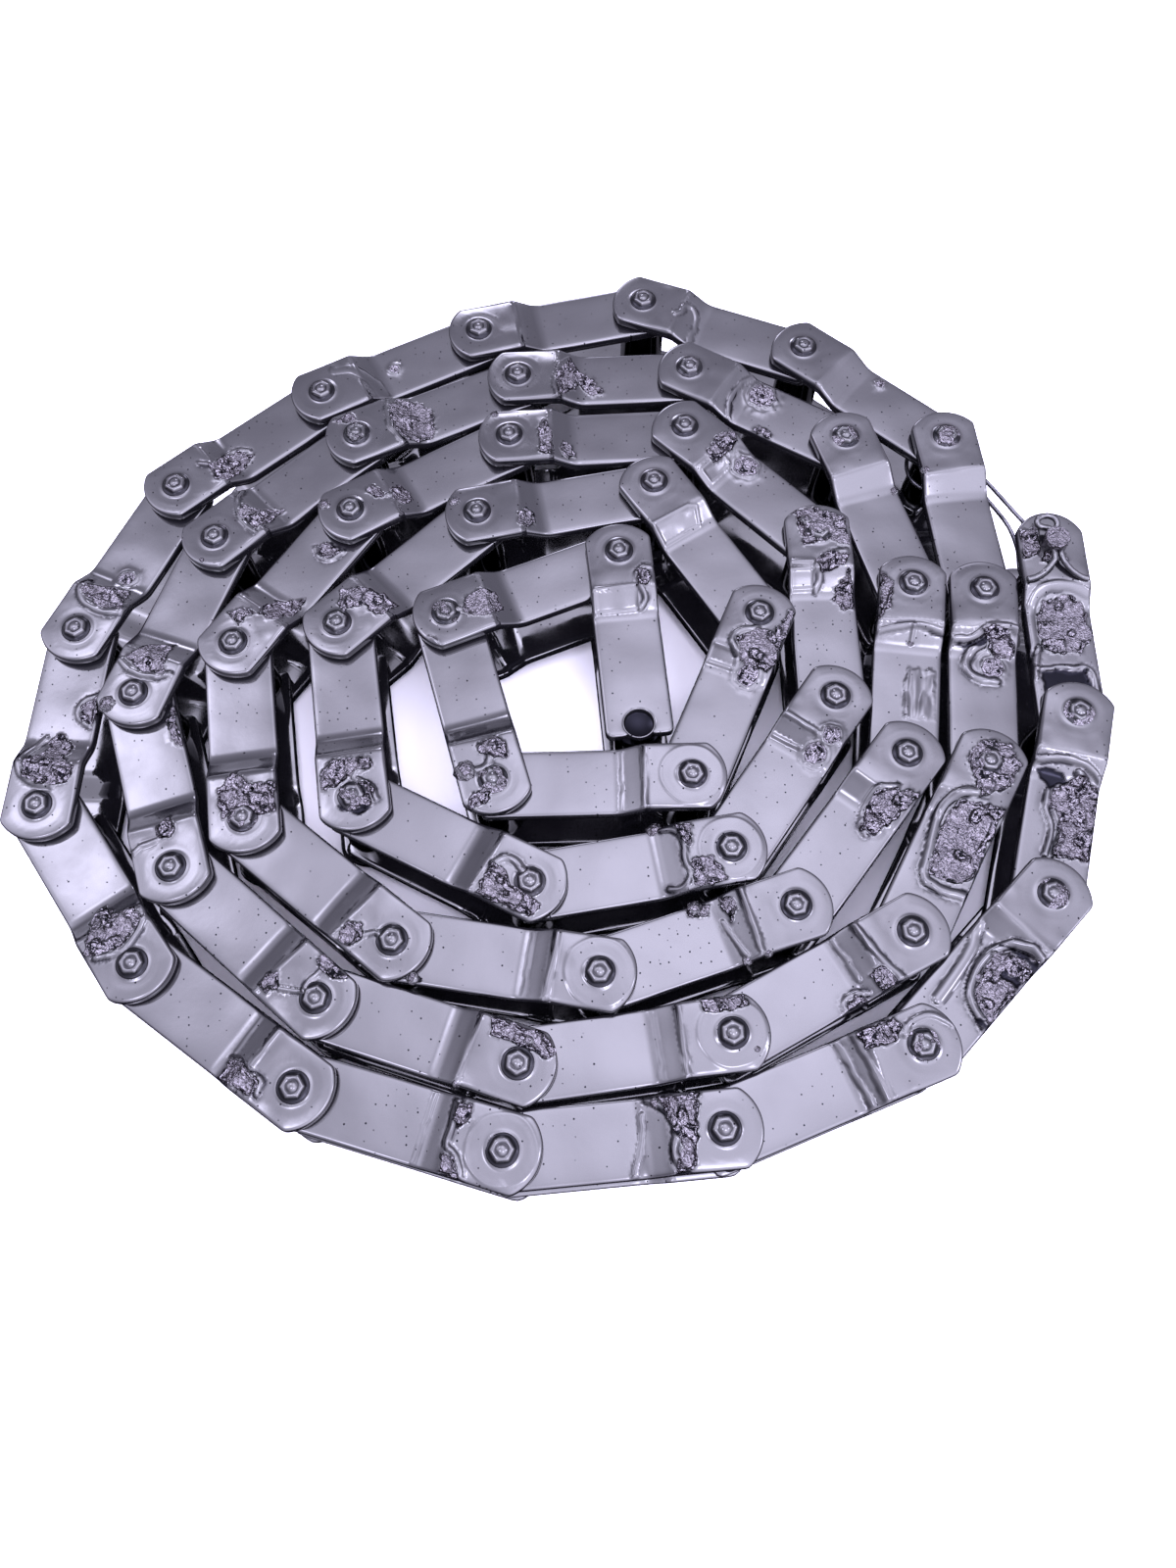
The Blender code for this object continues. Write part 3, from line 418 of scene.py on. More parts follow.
def coating(s, v, number, edge_gap):
    """How far the coating stands over the bare plate, how much is crinkled film, and how torn and black it is.
    edge_gap is the distance from the plate's edge."""
    rise = head_collar(s, v, number) if number < LINKS else np.zeros(s.shape)
    rise += 0.03 * noise(s, v, 9.0, number) - EDGE_FALL * np.exp(-edge_gap / EDGE_FALL_WIDTH)
    rise -= PILLOW * ramp(s, BEND_END, BEND_END + 4) * np.exp(-edge_gap / PILLOW_WIDTH)
    crest = s - BEND_END - CREST_PAST_BEND
    rise += BEND_CREST * bell(crest, np.where(crest > 0, CREST_FALL, CREST_CLIMB))
    rise -= 0.02 * bell(s - BEND_START - 0.4, 0.5)
    past_bend = ramp(s, BEND_END - 2, BEND_END + 2) * ramp(s, BEND_END + 10, BEND_END + 6)
    rise += 0.11 * noise(s, v, 4.5, 300 + number) * past_bend
    film = np.full(s.shape, -1.0)
    dark = np.zeros(s.shape)
    for k, feature in enumerate(FEATURES[number]):
        kind, seed = feature[0], 100 * number + 10 * k
        if kind in ("film", "ripple"):
            edge = inside(s, v, feature[1]) + 0.55 * noise(s, v, 1.7, seed) + 0.3 * noise(s, v, 0.7, seed + 1)
            body = ramp(edge, 0.0, 0.9)
            if kind == "film":
                relief, torn = crinkled(s, v, seed)
                rise += 0.22 * ramp(edge, -0.2, 0.3) + 0.22 * bell(edge - 0.35, 0.3) + body * relief
                film = np.maximum(film, np.clip(edge, -1, 1))
                rim = ramp(edge, -0.2, 0.1) * ramp(edge, 0.9, 0.4) * ramp(noise(s, v, 2.4, seed + 9), -0.1, 0.1)
                dark = np.maximum(dark, np.maximum(ramp(edge, 0.0, 0.3) * torn, rim))
            else:
                rise += body * (0.5 * np.abs(noise(0.3 * s, v, 2.6, seed))
                                + 0.25 * noise(0.25 * s, v, 1.3, seed + 1))
        elif kind == "lip":
            line = rounded(feature[1])
            near = from_line(s + 0.3 * noise(s, v, 2.5, seed), v, line)
            width = LIP_WIDER * feature[2]
            rise += roll(near, width, LIP_HIGHER * feature[3])
            # Along the lip's foot, in its groove, the dark mark paints a line of shade: painted shade in the
            # crease.
            crease_line_shade = bell(near - width - 0.1, 0.35) * ramp(noise(s, v, 3.0, seed + 7), 0.0, 0.3)
            dark = np.maximum(dark, min(2 * feature[3], 1.0) * crease_line_shade)
        elif kind == "puddle":
            r = np.hypot(s - PITCH, v) + 0.3 * noise(s, v, 5.0, seed)
            rise += 0.16 * ramp(r, feature[1] + 0.5, feature[1] - 0.4) + 0.08 * bell(r - feature[1], 0.5)
        elif kind == "lean":
            rise += feature[1] * (s - PITCH / 2) / PITCH + feature[2] * v / PLATE_HALF
        elif kind == "tilt":
            slope = feature[1] * (s - PITCH) / 12.0 + feature[2] * v / PLATE_HALF
            rise += ramp(s, BEND_END - 2, BEND_END + 3) * slope
        elif kind == "tear":
            edge = inside(s, v, feature[1]) + 0.5 * noise(s, v, 1.5, seed)
            rise -= 0.4 * ramp(edge, 0.0, 0.8)
            film = np.where(edge > 0, -1.0, film)
            dark = np.maximum(dark, ramp(edge, -0.2, 0.2))
        elif kind == "pane":
            edge = inside(s, v, feature[1])
            glass = 0.12 - 0.14 * noise(s, v, 4.0, seed)
            rise += 0.28 * bell(edge + 0.15, 0.5) - ramp(edge, 0.0, 0.8) * glass
        elif kind == "pit":
            r = np.hypot(s - feature[1], v - feature[2]) / feature[3] + 0.16 * noise(s, v, 1.6, seed)
            rise += 0.55 * bell(r - 1.0, 0.2) + 0.2 * bell(r - 1.45, 0.16)
            rise += ramp(r, 1.0, 0.6) * (1.1 * crumple(s, v, 1.6, seed) - 0.8)
            film = np.maximum(film, np.clip((0.95 - r) * 2, -1, 0.6))
            dark = np.maximum(dark, ramp(r, 1.0, 0.7))
    return rise, film, dark


# Meshes

def new_object(name, data):
    obj = bpy.data.objects.new(name, data)
    bpy.context.scene.collection.objects.link(obj)
    return obj


class Shell:
    """Vertices, faces and the marks that the coating's material reads. twist is how steeply the raised end is
    turned about the link's length, which is shaded and not modelled."""

    def __init__(self):
        self.places, self.faces, self.film, self.dark, self.twist = [], [], [], [], 0.0

    def add(self, points, film=None, dark=None):
        first = len(self.places)
        count = len(points)
        self.places += [tuple(p) for p in points]
        self.film += list(film) if film is not None else [-1.0] * count
        self.dark += list(dark) if dark is not None else [0.0] * count
        return np.arange(first, first + count)

    def bridge(self, low, high):
        """Quads between two loops of the same length, facing out when high lies above an anticlockwise low."""
        self.faces += zip(low, np.roll(low, -1), np.roll(high, -1), high)

    def cap(self, loop, point, up=True, film=-1.0, dark=0.0):
        middle = self.add([point], [film], [dark])[0]
        for here, ahead in zip(loop, np.roll(loop, -1)):
            self.faces.append((here, ahead, middle) if up else (ahead, here, middle))

    def stack(self, rings, foot, tip, film=-1.0, up=True):
        """Loops of points over one another, between a foot and a tip. Each ring has its points and marks."""
        above = None
        for marked in rings:
            ring = self.add(*marked)
            if above is None:
                self.cap(ring, foot, up=not up)
            else:
                self.bridge(*((above, ring) if up else (ring, above)))
            above = ring
        self.cap(above, tip, up=up, film=film)

    def lengthen(self, extra):
        """Stretches the raised end beyond its pin."""
        self.places = [(x + extra * float(ramp(x, PITCH + 2, PITCH + 11)), y, z) for x, y, z in self.places]

    def make(self, name, place=None):
        mesh = bpy.data.meshes.new(name)
        places = [(x * MM, y * MM, z * MM) for x, y, z in self.places]
        mesh.from_pydata(places, [], [tuple(map(int, f)) for f in self.faces])
        s, v = np.array(self.places)[:, :2].T
        sag = self.twist * v * ramp(s, BEND_END - 0.5, BEND_END + 1.5)
        for key, values in (("film", self.film), ("dark", self.dark), ("sag", sag)):
            mesh.attributes.new(key, "FLOAT", "POINT").data.foreach_set("value", np.array(values, np.float32))
        if place is not None:
            mesh.transform(place)
        mesh.shade_smooth()
        mesh.update()
        return new_object(name, mesh)


class Plan:
    """The fixed points of one plate: rings that follow its outline, and a fine lattice inside the last ring."""

    def __init__(self, spacing, lattice_step, notched=False):
        self.outline = plate_outline(spacing, notched)
        self.step_in = inward(self.outline)
        if notched:
            self.step_in *= 1 - 0.7 * near_horns(self.outline)[:, None]
        self.rings = [self.outline + inset * self.step_in for inset in INSETS]
        s = np.arange(-NARROW_CUT, END_CENTRE + END_RADIUS, lattice_step)
        v = np.arange(-PLATE_HALF, PLATE_HALF, lattice_step)
        self.i, self.j = [grid.ravel() for grid in np.meshgrid(np.arange(len(s)), np.arange(len(v)))]
        self.s, self.v = s[self.i], v[self.j]
        self.pairs = [tuple(p) for p in self.outline[::2]]
        keep = inside(self.s, self.v, self.pairs) > INSETS[-1] + 0.5 * lattice_step
        self.i, self.j, self.s, self.v = [a[keep] for a in (self.i, self.j, self.s, self.v)]
        self.edge_gap = inside(self.s, self.v, self.pairs)

    def pick(self, fine, medium):
        """Lattice points: all where it is fine, every row in the bend, every second one near the edge, every
        fourth one elsewhere."""
        i, j = self.i, self.j
        bend = (self.s > BEND_START - 3) & (self.s < BEND_END + 3)
        medium = (medium | (self.edge_gap < 3.0)) & (i % 2 == 0) & (j % 2 == 0)
        chosen = fine | medium | (bend & (j % 4 == 0)) | ((i % 4 == 0) & (j % 4 == 0))
        return np.stack([self.s[chosen], self.v[chosen]], 1)

    def from_edge(self, s, v):
        return np.maximum(inside(s, v, self.pairs), INSETS[-1])


def triangulate(loop, points):
    """Triangles over a loop of points and the loose points inside it. Returns the places and the triangles."""
    flat = [Vector(p) for p in loop] + [Vector(p) for p in points]
    count = len(loop)
    edges = [(k, (k + 1) % count) for k in range(count)]
    places, _, faces, _, _, _ = delaunay_2d_cdt(flat, edges, [], 1, 1e-6)
    if len(places) != len(flat):
        raise ValueError("the plate's points cross: %d places of %d" % (len(places), len(flat)))
    return np.array(places), faces


def need(s, v, number):
    """Where the coating has enough shape to need every point of the lattice."""
    r = np.hypot(s - PITCH, v)
    fine = np.abs(r - 5.5) < 1.2
    medium = r < RING_RADIUS + 1.0
    for feature in FEATURES[number]:
        kind = feature[0]
        if kind in ("film", "pane", "ripple", "tear"):
            near = -inside(s, v, feature[1])
            if kind == "pane":
                near = np.abs(near) - 0.4
        elif kind == "lip":
            near = from_line(s, v, rounded(feature[1])) - LIP_WIDER * feature[2]
        elif kind == "pit":
            near = np.hypot(s - feature[1], v - feature[2]) - 1.5 * feature[3]
        elif kind == "puddle":
            near = np.abs(r - feature[1]) - 0.5
        else:
            continue
        fine |= near < 0.5
        medium |= near < 1.5
    return fine, medium


def upper_plate(shell, plan, number, bottom):
    """The detailed plate, closed: rounded rim, coated top, plain underside."""
    flat, faces = triangulate(plan.rings[-1], plan.pick(*need(plan.s, plan.v, number)))
    s, v = flat[:, 0], flat[:, 1]
    rise, film, dark = coating(s, v, number, plan.from_edge(s, v))
    top = shell.add(np.stack([s, v, bar_height(s) + rise], 1), film, dark)
    shell.faces += [(top[a], top[b], top[c]) for a, b, c in faces]
    count = len(plan.outline)
    above = top[:count]
    for inset, ring in reversed(list(zip(INSETS[:-1], plan.rings[:-1]))):
        rise, film, dark = coating(ring[:, 0], ring[:, 1], number, inset)
        drop = EDGE_ROUND - math.sqrt(max(EDGE_ROUND ** 2 - max(EDGE_ROUND - inset, 0) ** 2, 0))
        z = bar_height(ring[:, 0]) + rise * min(inset / INSETS[-1] + 0.2, 1) - drop
        below = shell.add(np.column_stack([ring, z]), film, dark)
        shell.bridge(below, above)
        above = below
    plain_side(shell, plan, above, bottom, INNER_RIM)


def plain_side(shell, plan, above, bottom, rim, sign=1):
    """The rounded rim and the flat face between the plates, for the upper plate or, with -1, the lower one."""
    for inset, drop in rim:
        ring = plan.outline + inset * plan.step_in
        below = shell.add(np.column_stack([ring, sign * (bar_height(ring[:, 0]) - drop)]))
        shell.bridge(*((below, above) if sign > 0 else (above, below)))
        above = below
    flat, faces = bottom
    inner = shell.add(np.column_stack([flat, sign * (bar_height(flat[:, 0]) - PLATE_THICK)]))
    for face in faces:
        names = [above[k] if k < len(above) else inner[k] for k in face]
        shell.faces.append(tuple(names[::-sign]))


def plate_bottom(plan):
    """The shared triangles of a plate's plain face."""
    none = np.zeros(len(plan.s), bool)
    return triangulate(plan.outline + 0.5 * plan.step_in, plan.pick(none, none))


def barrel(shell, bored, sides=36):
    """The rolled barrel between the plates. The first one's bore shows, with a bead of coating round its mouth
    and a skin of it across, just inside."""
    angles = full_turn(sides)
    circle = np.stack([np.cos(angles), np.sin(angles)], 1)
    half = [(BARREL_RADIUS, 0.0), (BARREL_RADIUS, 9.6), (BARREL_RADIUS + 0.2, 10.8), (BARREL_RADIUS - 0.3, 12.6)]
    if bored:
        half = half[:2] + [(7.4, 11.2), (6.6, 12.0), (5.4, 12.6), (5.05, 14.1), (4.8, 14.4),
                           (BORE_RADIUS, 14.1), (BORE_RADIUS, 12.3), (4.2, 12.1)]
    else:
        half += [(BORE_RADIUS, 12.8), (3.0, 12.8)]
    # The barrel carries the dark mark below a height of 13 mm, which is painted shade: black where it lies in the
    # gaps between the plates. Only the bored one's bead round its mouth stands above that height.
    walls = [[shell.add(np.column_stack([r * circle, np.full(sides, sign * z)]), None,
                        np.full(sides, float(z < 13))) for r, z in half] for sign in (1, -1)]
    for low, high in zip(walls[0], walls[0][1:]):
        shell.bridge(low, high)
    for high, low in zip(walls[1], walls[1][1:]):
        shell.bridge(low, high)
    # The first one's skin across the bore is marked dark: painted shade inside the bore.
    shell.cap(walls[0][-1], (0, 0, half[-1][1]), dark=float(bored))
    shell.cap(walls[1][-1], (0, 0, -half[-1][1]), up=False, dark=float(bored))


def riveted_head(shell, number, amount, sides=48, sign=1):
    """A swaged hexagonal head: rounded facets, a flat top with a small ball in a dimple."""
    angles = full_turn(sides)
    turn = 2.399 * number
    wedge = np.mod(angles + turn, math.pi / 3) - math.pi / 6
    hexagon = math.cos(math.pi / 6) / np.cos(wedge)
    low = UPPER_HEAD_LOWER if sign > 0 else 1.0
    # Each row: radius, height, how hexagonal, and the dark mark. The dark mark is painted shade at the head's
    # foot, where it meets the plate, and in the dimple round the ball.
    profile = [
        (4.6, -1.0, 0.0, 1), (4.58, 0.5, 0.0, 1), (4.45, 0.72, 0.0, 1), (4.15, 0.8, 0.0, 1), (3.8, 0.95, 0.2, 1),
        (3.6, 1.4, 0.7, 1), (3.5, 1.9, 1.0, 0.2), (3.3, 2.35, 1.0, 0), (2.95, 2.6, 1.0, 0), (2.5, 2.68, 0.8, 0),
        (2.1, 2.6, 0.3, 0.3), (1.85, 2.45, 0.0, 0.8), (1.6, 2.42, 0.0, 0.9), (1.4, 2.55, 0.0, 0.4),
        (1.1, 2.78, 0.0, 0), (0.75, 2.93, 0.0, 0), (0.35, 3.0, 0.0, 0)]

    def rings():
        for radius, z, corner, painted_shade in profile:
            r = radius * ((1 - corner) + corner * hexagon)
            x, y = r * np.cos(angles), r * np.sin(angles)
            fold = amount * ramp(noise(x, y, 2.2, 60 + number), -0.5, 0.4)
            crease = crumple(x, y, 1.6, 70 + number) - 0.5
            z *= low
            lift = np.minimum(0.45 * fold * crease, HEAD_HEIGHT - z)
            wider = 1 + 0.09 * fold * crease
            points = np.column_stack([PITCH + x * wider, y * wider, sign * (WIDE_TOP + z + lift)])
            yield points, fold * 1.4 - 0.7, painted_shade * (0.9 - 0.3 * fold)

    ends = [(PITCH, 0, sign * (WIDE_TOP + low * z)) for z in (profile[0][1], HEAD_HEIGHT)]
    shell.stack(rings(), *ends, up=sign > 0)


def blob(shell, feature, number, rows=7, sides=16):
    """A bubble of coating, wrinkled, that stands on the plate or hangs over its edge."""
    _, s, v, radius, level = feature
    z = float(bar_height(np.array([s]))[0]) + level
    angles = full_turn(sides)
    tilts = np.linspace(-0.42 * math.pi, 0.46 * math.pi, rows)

    def rings():
        for tilt in tilts:
            x, y = s + radius * math.cos(tilt) * np.cos(angles), v + radius * math.cos(tilt) * np.sin(angles)
            wrinkle = 0.16 * radius * noise(x, y + 3 * math.sin(tilt), 0.9, number)
            height = np.full(sides, z + 0.62 * radius * math.sin(tilt))
            points = np.column_stack([x + wrinkle * np.cos(angles), y + wrinkle * np.sin(angles), height])
            yield points, np.full(sides, 0.35 if tilt == tilts[-1] else 0.0)

    shell.stack(rings(), (s, v, z - 0.62 * radius), (s, v, z + 0.6 * radius), film=0.4)


def lower_plate(shell, plan, number, bottom):
    """The lower plate: the same form upside down, with its own plain coating."""
    s, v = bottom[0][:, 0], bottom[0][:, 1]
    near = np.clip((MENISCUS_RADIUS - np.hypot(s - PITCH, v)) / 2.4, 0, 1)
    rise = 0.05 * noise(s, v, 8.0, 900 + number) + 0.5 * near ** 2
    outer = shell.add(np.column_stack([s, v, -(bar_height(s) + rise)]))
    shell.faces += [(outer[c], outer[b], outer[a]) for a, b, c in bottom[1]]
    plain_side(shell, plan, outer[:len(plan.outline)], bottom, OUTER_RIM + INNER_RIM, -1)


def round_bar(shell, profile, centre, sides=32, rough=0.0, seed=0):
    """A turned form from a list of radii and heights."""
    angles = full_turn(sides)

    def rings():
        for radius, z in profile:
            wobble = 1 + rough * noise(10 * np.cos(angles) * radius, 10 * np.sin(angles) * radius + z, 6.0, seed)
            x, y = [c + radius * wobble * way for c, way in zip(centre, (np.cos(angles), np.sin(angles)))]
            film = 0.4 if z > MID_HEIGHT + WIDE_TOP + RAGGED_FROM else -0.5
            yield np.column_stack([x, y, np.full(sides, z)]), np.full(sides, film)

    shell.stack(rings(), (*centre, profile[0][1]), (*centre, profile[-1][1]), film=0.4)


def smooth_route(points, steps, closed):
    """Points read from a smooth curve through the route's own points."""
    places = np.array(points, float)
    count = len(places)
    pick = (lambda k: places[k % count]) if closed else (lambda k: places[min(max(k, 0), count - 1)])
    route = []
    for k in range(count if closed else count - 1):
        before, start, stop, after = pick(k - 1), pick(k), pick(k + 1), pick(k + 2)
        for t in np.arange(steps) / steps:
            route.append(0.5 * (2 * start + (stop - before) * t
                                + (2 * before - 5 * start + 4 * stop - after) * t ** 2
                                + (3 * start - before - 3 * stop + after) * t ** 3))
    if not closed:
        route.append(places[-1])
    return np.array(route)


def wire(shell, route, radius, closed, sides=14, rough=0.0):
    """A round wire along a route, kept from twisting, with rounded ends where it is open."""
    count = len(route)
    ahead = np.roll(route, -1, 0) - np.roll(route, 1, 0)
    if not closed:
        ahead[0], ahead[-1] = route[1] - route[0], route[-1] - route[-2]
    ahead /= np.linalg.norm(ahead, axis=1)[:, None]
    angles = full_turn(sides)
    loops, side = [], np.cross(ahead[0], (0, 0, 1.0))
    for k in range(count):
        side = side - ahead[k] * (side @ ahead[k])
        side /= np.linalg.norm(side)
        other = np.cross(ahead[k], side)
        thick = radius * (1 + rough * noise(np.full(sides, 3.0 * k), 4 * angles, 2.0, 5))[:, None]
        circle = np.cos(angles)[:, None] * side + np.sin(angles)[:, None] * other
        loops.append(shell.add(route[k] + thick * circle))
    for low, high in zip(loops, loops[1:]):
        shell.bridge(low, high)
    if closed:
        first = loops[0]
        gap = [np.linalg.norm(np.array(shell.places[loops[-1][0]]) - np.array(shell.places[n])) for n in first]
        shell.bridge(loops[-1], np.roll(first, -int(np.argmin(gap))))
    else:
        shell.cap(loops[0], route[0] - 0.4 * radius * ahead[0], up=False)
        shell.cap(loops[-1], route[-1] + 0.4 * radius * ahead[-1])


# Materials

class Nodes:
    """Short calls that add shader nodes to a material or world."""

    def __init__(self, owner, shader="Principled BSDF", space="Object"):
        self.owner = owner
        owner.use_nodes = True
        self.tree = owner.node_tree
        self.shader = self.tree.nodes[shader]
        self.place = self.add("ShaderNodeTexCoord").outputs[space]

    def add(self, kind, **settings):
        node = self.tree.nodes.new(kind)
        for key, value in settings.items():
            if key in node.inputs.keys():
                node.inputs[key].default_value = value
            else:
                setattr(node, key, value)
        return node

    def link(self, source, socket):
        self.tree.links.new(source, socket)

    def texture(self, kind, size, vector=None, **settings):
        """A texture whose features are about this many millimetres across."""
        node = self.add(kind, **settings)
        self.link(vector or self.place, node.inputs["Vector"])
        node.inputs["Scale"].default_value = 1.0 / (size * MM)
        return node

    def noise(self, size, **settings):
        return self.texture("ShaderNodeTexNoise", size, **settings).outputs["Fac"]

    def warped(self, size, amount):
        """The place moved about by noise of this size, by up to this many millimetres."""
        away = self.add("ShaderNodeVectorMath", operation="MULTIPLY_ADD")
        self.link(self.texture("ShaderNodeTexNoise", size).outputs["Color"], away.inputs[0])
        away.inputs[1].default_value = (amount * MM,) * 3
        self.link(self.place, away.inputs[2])
        return away.outputs[0]

    def math(self, operation, a, b=0.0, c=0.0):
        node = self.add("ShaderNodeMath", operation=operation)
        for socket, value in zip(node.inputs, (a, b, c)):
            if isinstance(value, (int, float)):
                socket.default_value = value
            else:
                self.link(value, socket)
        return node.outputs[0]

    def span(self, value, low, high, start=0.0, stop=1.0):
        node = self.add("ShaderNodeMapRange", interpolation_type="SMOOTHSTEP")
        self.link(value, node.inputs["Value"])
        for key, number in (("From Min", low), ("From Max", high), ("To Min", start), ("To Max", stop)):
            node.inputs[key].default_value = number
        return node.outputs["Result"]

    def mix(self, factor, a, b):
        node = self.add("ShaderNodeMix", data_type="RGBA")
        self.link(factor, node.inputs["Factor"])
        for socket, value in ((node.inputs[6], a), (node.inputs[7], b)):
            if isinstance(value, tuple):
                socket.default_value = (*value, 1.0)
            else:
                self.link(value, socket)
        return node.outputs[2]

    def bump(self, height, depth, normal=None):
        """depth is in millimetres for a height of 1."""
        node = self.add("ShaderNodeBump")
        node.inputs["Distance"].default_value = depth * MM
        self.link(height, node.inputs["Height"])
        if normal is not None:
            self.link(normal, node.inputs["Normal"])
        return node.outputs["Normal"]

    def mark(self, name):
        return self.add("ShaderNodeAttribute", attribute_name=name).outputs["Fac"]


def coated_steel():
    """Thick glossy black dip coating, with loose crinkled film, black tears, specks, faint waves and painted
    shade.
    """
    n = Nodes(bpy.data.materials.new("glossy_dip_coating"))
    film, dark = n.mark("film"), n.mark("dark")
    grain = n.noise(1.2, Detail=3.0)
    skin = n.span(n.math("ADD", film, n.math("MULTIPLY_ADD", grain, 0.5, -0.25)), -0.02, 0.1)
    cloud = n.noise(3.5, Detail=2.0)
    sheet = n.mix(cloud, (0.062, 0.058, 0.066), (0.150, 0.142, 0.152))
    # Painted shade: in torn film, the valleys of the fold noise, which the bump raises there, and a net of crease
    # lines are painted black.
    fold = n.noise(1.7, Detail=3.0, Roughness=0.55)
    crease_line_shade = n.texture("ShaderNodeTexVoronoi", 3.6, feature="DISTANCE_TO_EDGE", vector=n.warped(1.6, 2.4))
    line = n.span(crease_line_shade.outputs["Distance"], 0.03, 0.09, 1.0, 0.0)
    line = n.math("MULTIPLY", line, n.span(cloud, 0.45, 0.5))
    crease_shade = n.math("MAXIMUM", n.span(fold, 0.40, 0.44, 1.0, 0.0), line)
    whole = n.math("SUBTRACT", 1.0, n.math("MULTIPLY", skin, n.math("SUBTRACT", 1.0, crease_shade)))
    # tear is black wherever the dark mark is, but in the film only in its creases. It holds real tears and also
    # painted shade: on the barrels between the plates, at the heads' feet and dimples, along the lips' grooves and
    # in the torn film's creases.
    tear = n.math("MULTIPLY", dark, whole)
    speckle = n.texture("ShaderNodeTexVoronoi", 2.8, voronoi_dimensions="2D")
    pick = n.add("ShaderNodeSeparateColor")
    n.link(speckle.outputs["Color"], pick.inputs[0])
    crowd = n.noise(18.0, Detail=1.0)
    rare = n.math("GREATER_THAN", pick.outputs[0], n.span(crowd, 0.35, 0.7, 0.93, 0.6))
    size = n.math("MULTIPLY_ADD", pick.outputs[1], 0.06, 0.04)
    speck = n.math("MULTIPLY", rare, n.math("LESS_THAN", speckle.outputs["Distance"], size))
    tone = n.noise(40.0, Detail=2.0)
    coat = n.mix(tone, (0.0044, 0.0042, 0.0054), (0.0060, 0.0058, 0.0072))
    base = n.mix(skin, coat, n.mix(dark, sheet, (0.18, 0.17, 0.185)))
    black = n.math("MAXIMUM", speck, tear)
    n.link(n.mix(black, base, (0.006, 0.006, 0.008)), n.shader.inputs["Base Color"])
    n.link(n.math("MAXIMUM", black, skin), n.shader.inputs["Metallic"])
    n.shader.inputs["IOR"].default_value = 1.75
    smear = n.noise(14.0, Detail=3.0, Roughness=0.55)
    smooth = n.span(smear, 0.35, 0.7, 0.06, 0.18)
    loose = n.math("MULTIPLY", skin, n.math("MULTIPLY_ADD", dark, -0.10, 0.05))
    n.link(n.math("ADD", smooth, loose), n.shader.inputs["Roughness"])
    wave = n.noise(26.0, Detail=1.0)
    normal = n.bump(wave, 0.9, n.bump(n.mark("sag"), 1.0))
    peel = n.noise(2.2, Detail=2.0)
    normal = n.bump(peel, 0.010, normal)
    normal = n.bump(n.math("MULTIPLY", speck, -1.0), 0.15, normal)
    wrinkle = n.noise(1.5, Detail=2.0, Distortion=1.6)
    relief = n.math("MULTIPLY_ADD", fold, dark, n.math("MULTIPLY", wrinkle, 0.5))
    normal = n.bump(n.math("MULTIPLY", skin, relief), 2.0, normal)
    n.link(normal, n.shader.inputs["Normal"])
    return n.owner


def bare_steel():
    """Drawn wire, streaked and dirty."""
    n = Nodes(bpy.data.materials.new("drawn_steel_wire"))
    streak = n.noise(0.5, Detail=4.0)
    dirt = n.noise(4.0, Detail=3.0)
    shade = n.span(dirt, 0.4, 0.65)
    n.link(n.mix(shade, (0.10, 0.098, 0.11), (0.03, 0.03, 0.036)), n.shader.inputs["Base Color"])
    n.link(n.span(streak, 0.3, 0.7, 0.18, 0.4), n.shader.inputs["Roughness"])
    n.link(n.bump(streak, 0.05), n.shader.inputs["Normal"])
    n.shader.inputs["Metallic"].default_value = 0.85
    return n.owner


def plain_floor():
    n = Nodes(bpy.data.materials.new("pale_floor"))
    tone = n.noise(300.0)
    n.link(n.mix(tone, (0.86, 0.85, 0.87), (0.88, 0.87, 0.89)), n.shader.inputs["Base Color"])
    n.shader.inputs["Roughness"].default_value = 0.7
    n.shader.inputs["Specular IOR Level"].default_value = 0.2
    return n.owner


def studio_sky():
    """Soft light from broad lobes behind the camera, at the left and over the object, a few small lamps, and a
    glow low down all round."""
    n = Nodes(bpy.data.worlds.new("soft_studio"), "Background", "Generated")
    bpy.context.scene.world = n.owner
    total = SKY_FILL
    for strength, sharpness, towards in SKY_LOBES:
        dot = n.add("ShaderNodeVectorMath", operation="DOT_PRODUCT")
        n.link(n.place, dot.inputs[0])
        dot.inputs[1].default_value = Vector(towards).normalized()
        fall = n.math("MULTIPLY", n.math("SUBTRACT", dot.outputs["Value"], 1.0), sharpness)
        total = n.math("ADD", n.math("MULTIPLY", n.math("EXPONENT", fall), strength), total)
    up = n.add("ShaderNodeSeparateXYZ")
    n.link(n.place, up.inputs[0])
    glow = n.math("EXPONENT", n.math("MULTIPLY", up.outputs["Z"], -1 / HORIZON_DEPTH))
    total = n.math("ADD", n.math("MULTIPLY", glow, HORIZON_GLOW), total)
    horizon = n.add("ShaderNodeMapRange", **{"From Min": -HORIZON_EDGE, "From Max": HORIZON_EDGE})
    n.link(up.outputs["Z"], horizon.inputs["Value"])
    n.link(n.math("MULTIPLY", total, horizon.outputs["Result"]), n.shader.inputs["Strength"])
    n.shader.inputs["Color"].default_value = SKY_TINT


def camera():
    data = bpy.data.cameras.new("camera")
    data.sensor_width = 36.0
    data.lens = CAMERA_LENS
    data.clip_start = 0.01
    obj = new_object("camera", data)
    turn = Matrix.Rotation(math.radians(CAMERA_TILT), 4, "X") @ Matrix.Rotation(-math.radians(CAMERA_ROLL), 4, "Z")
    obj.matrix_world = Matrix.Translation(CAMERA_PLACE) @ turn
    bpy.context.scene.camera = obj


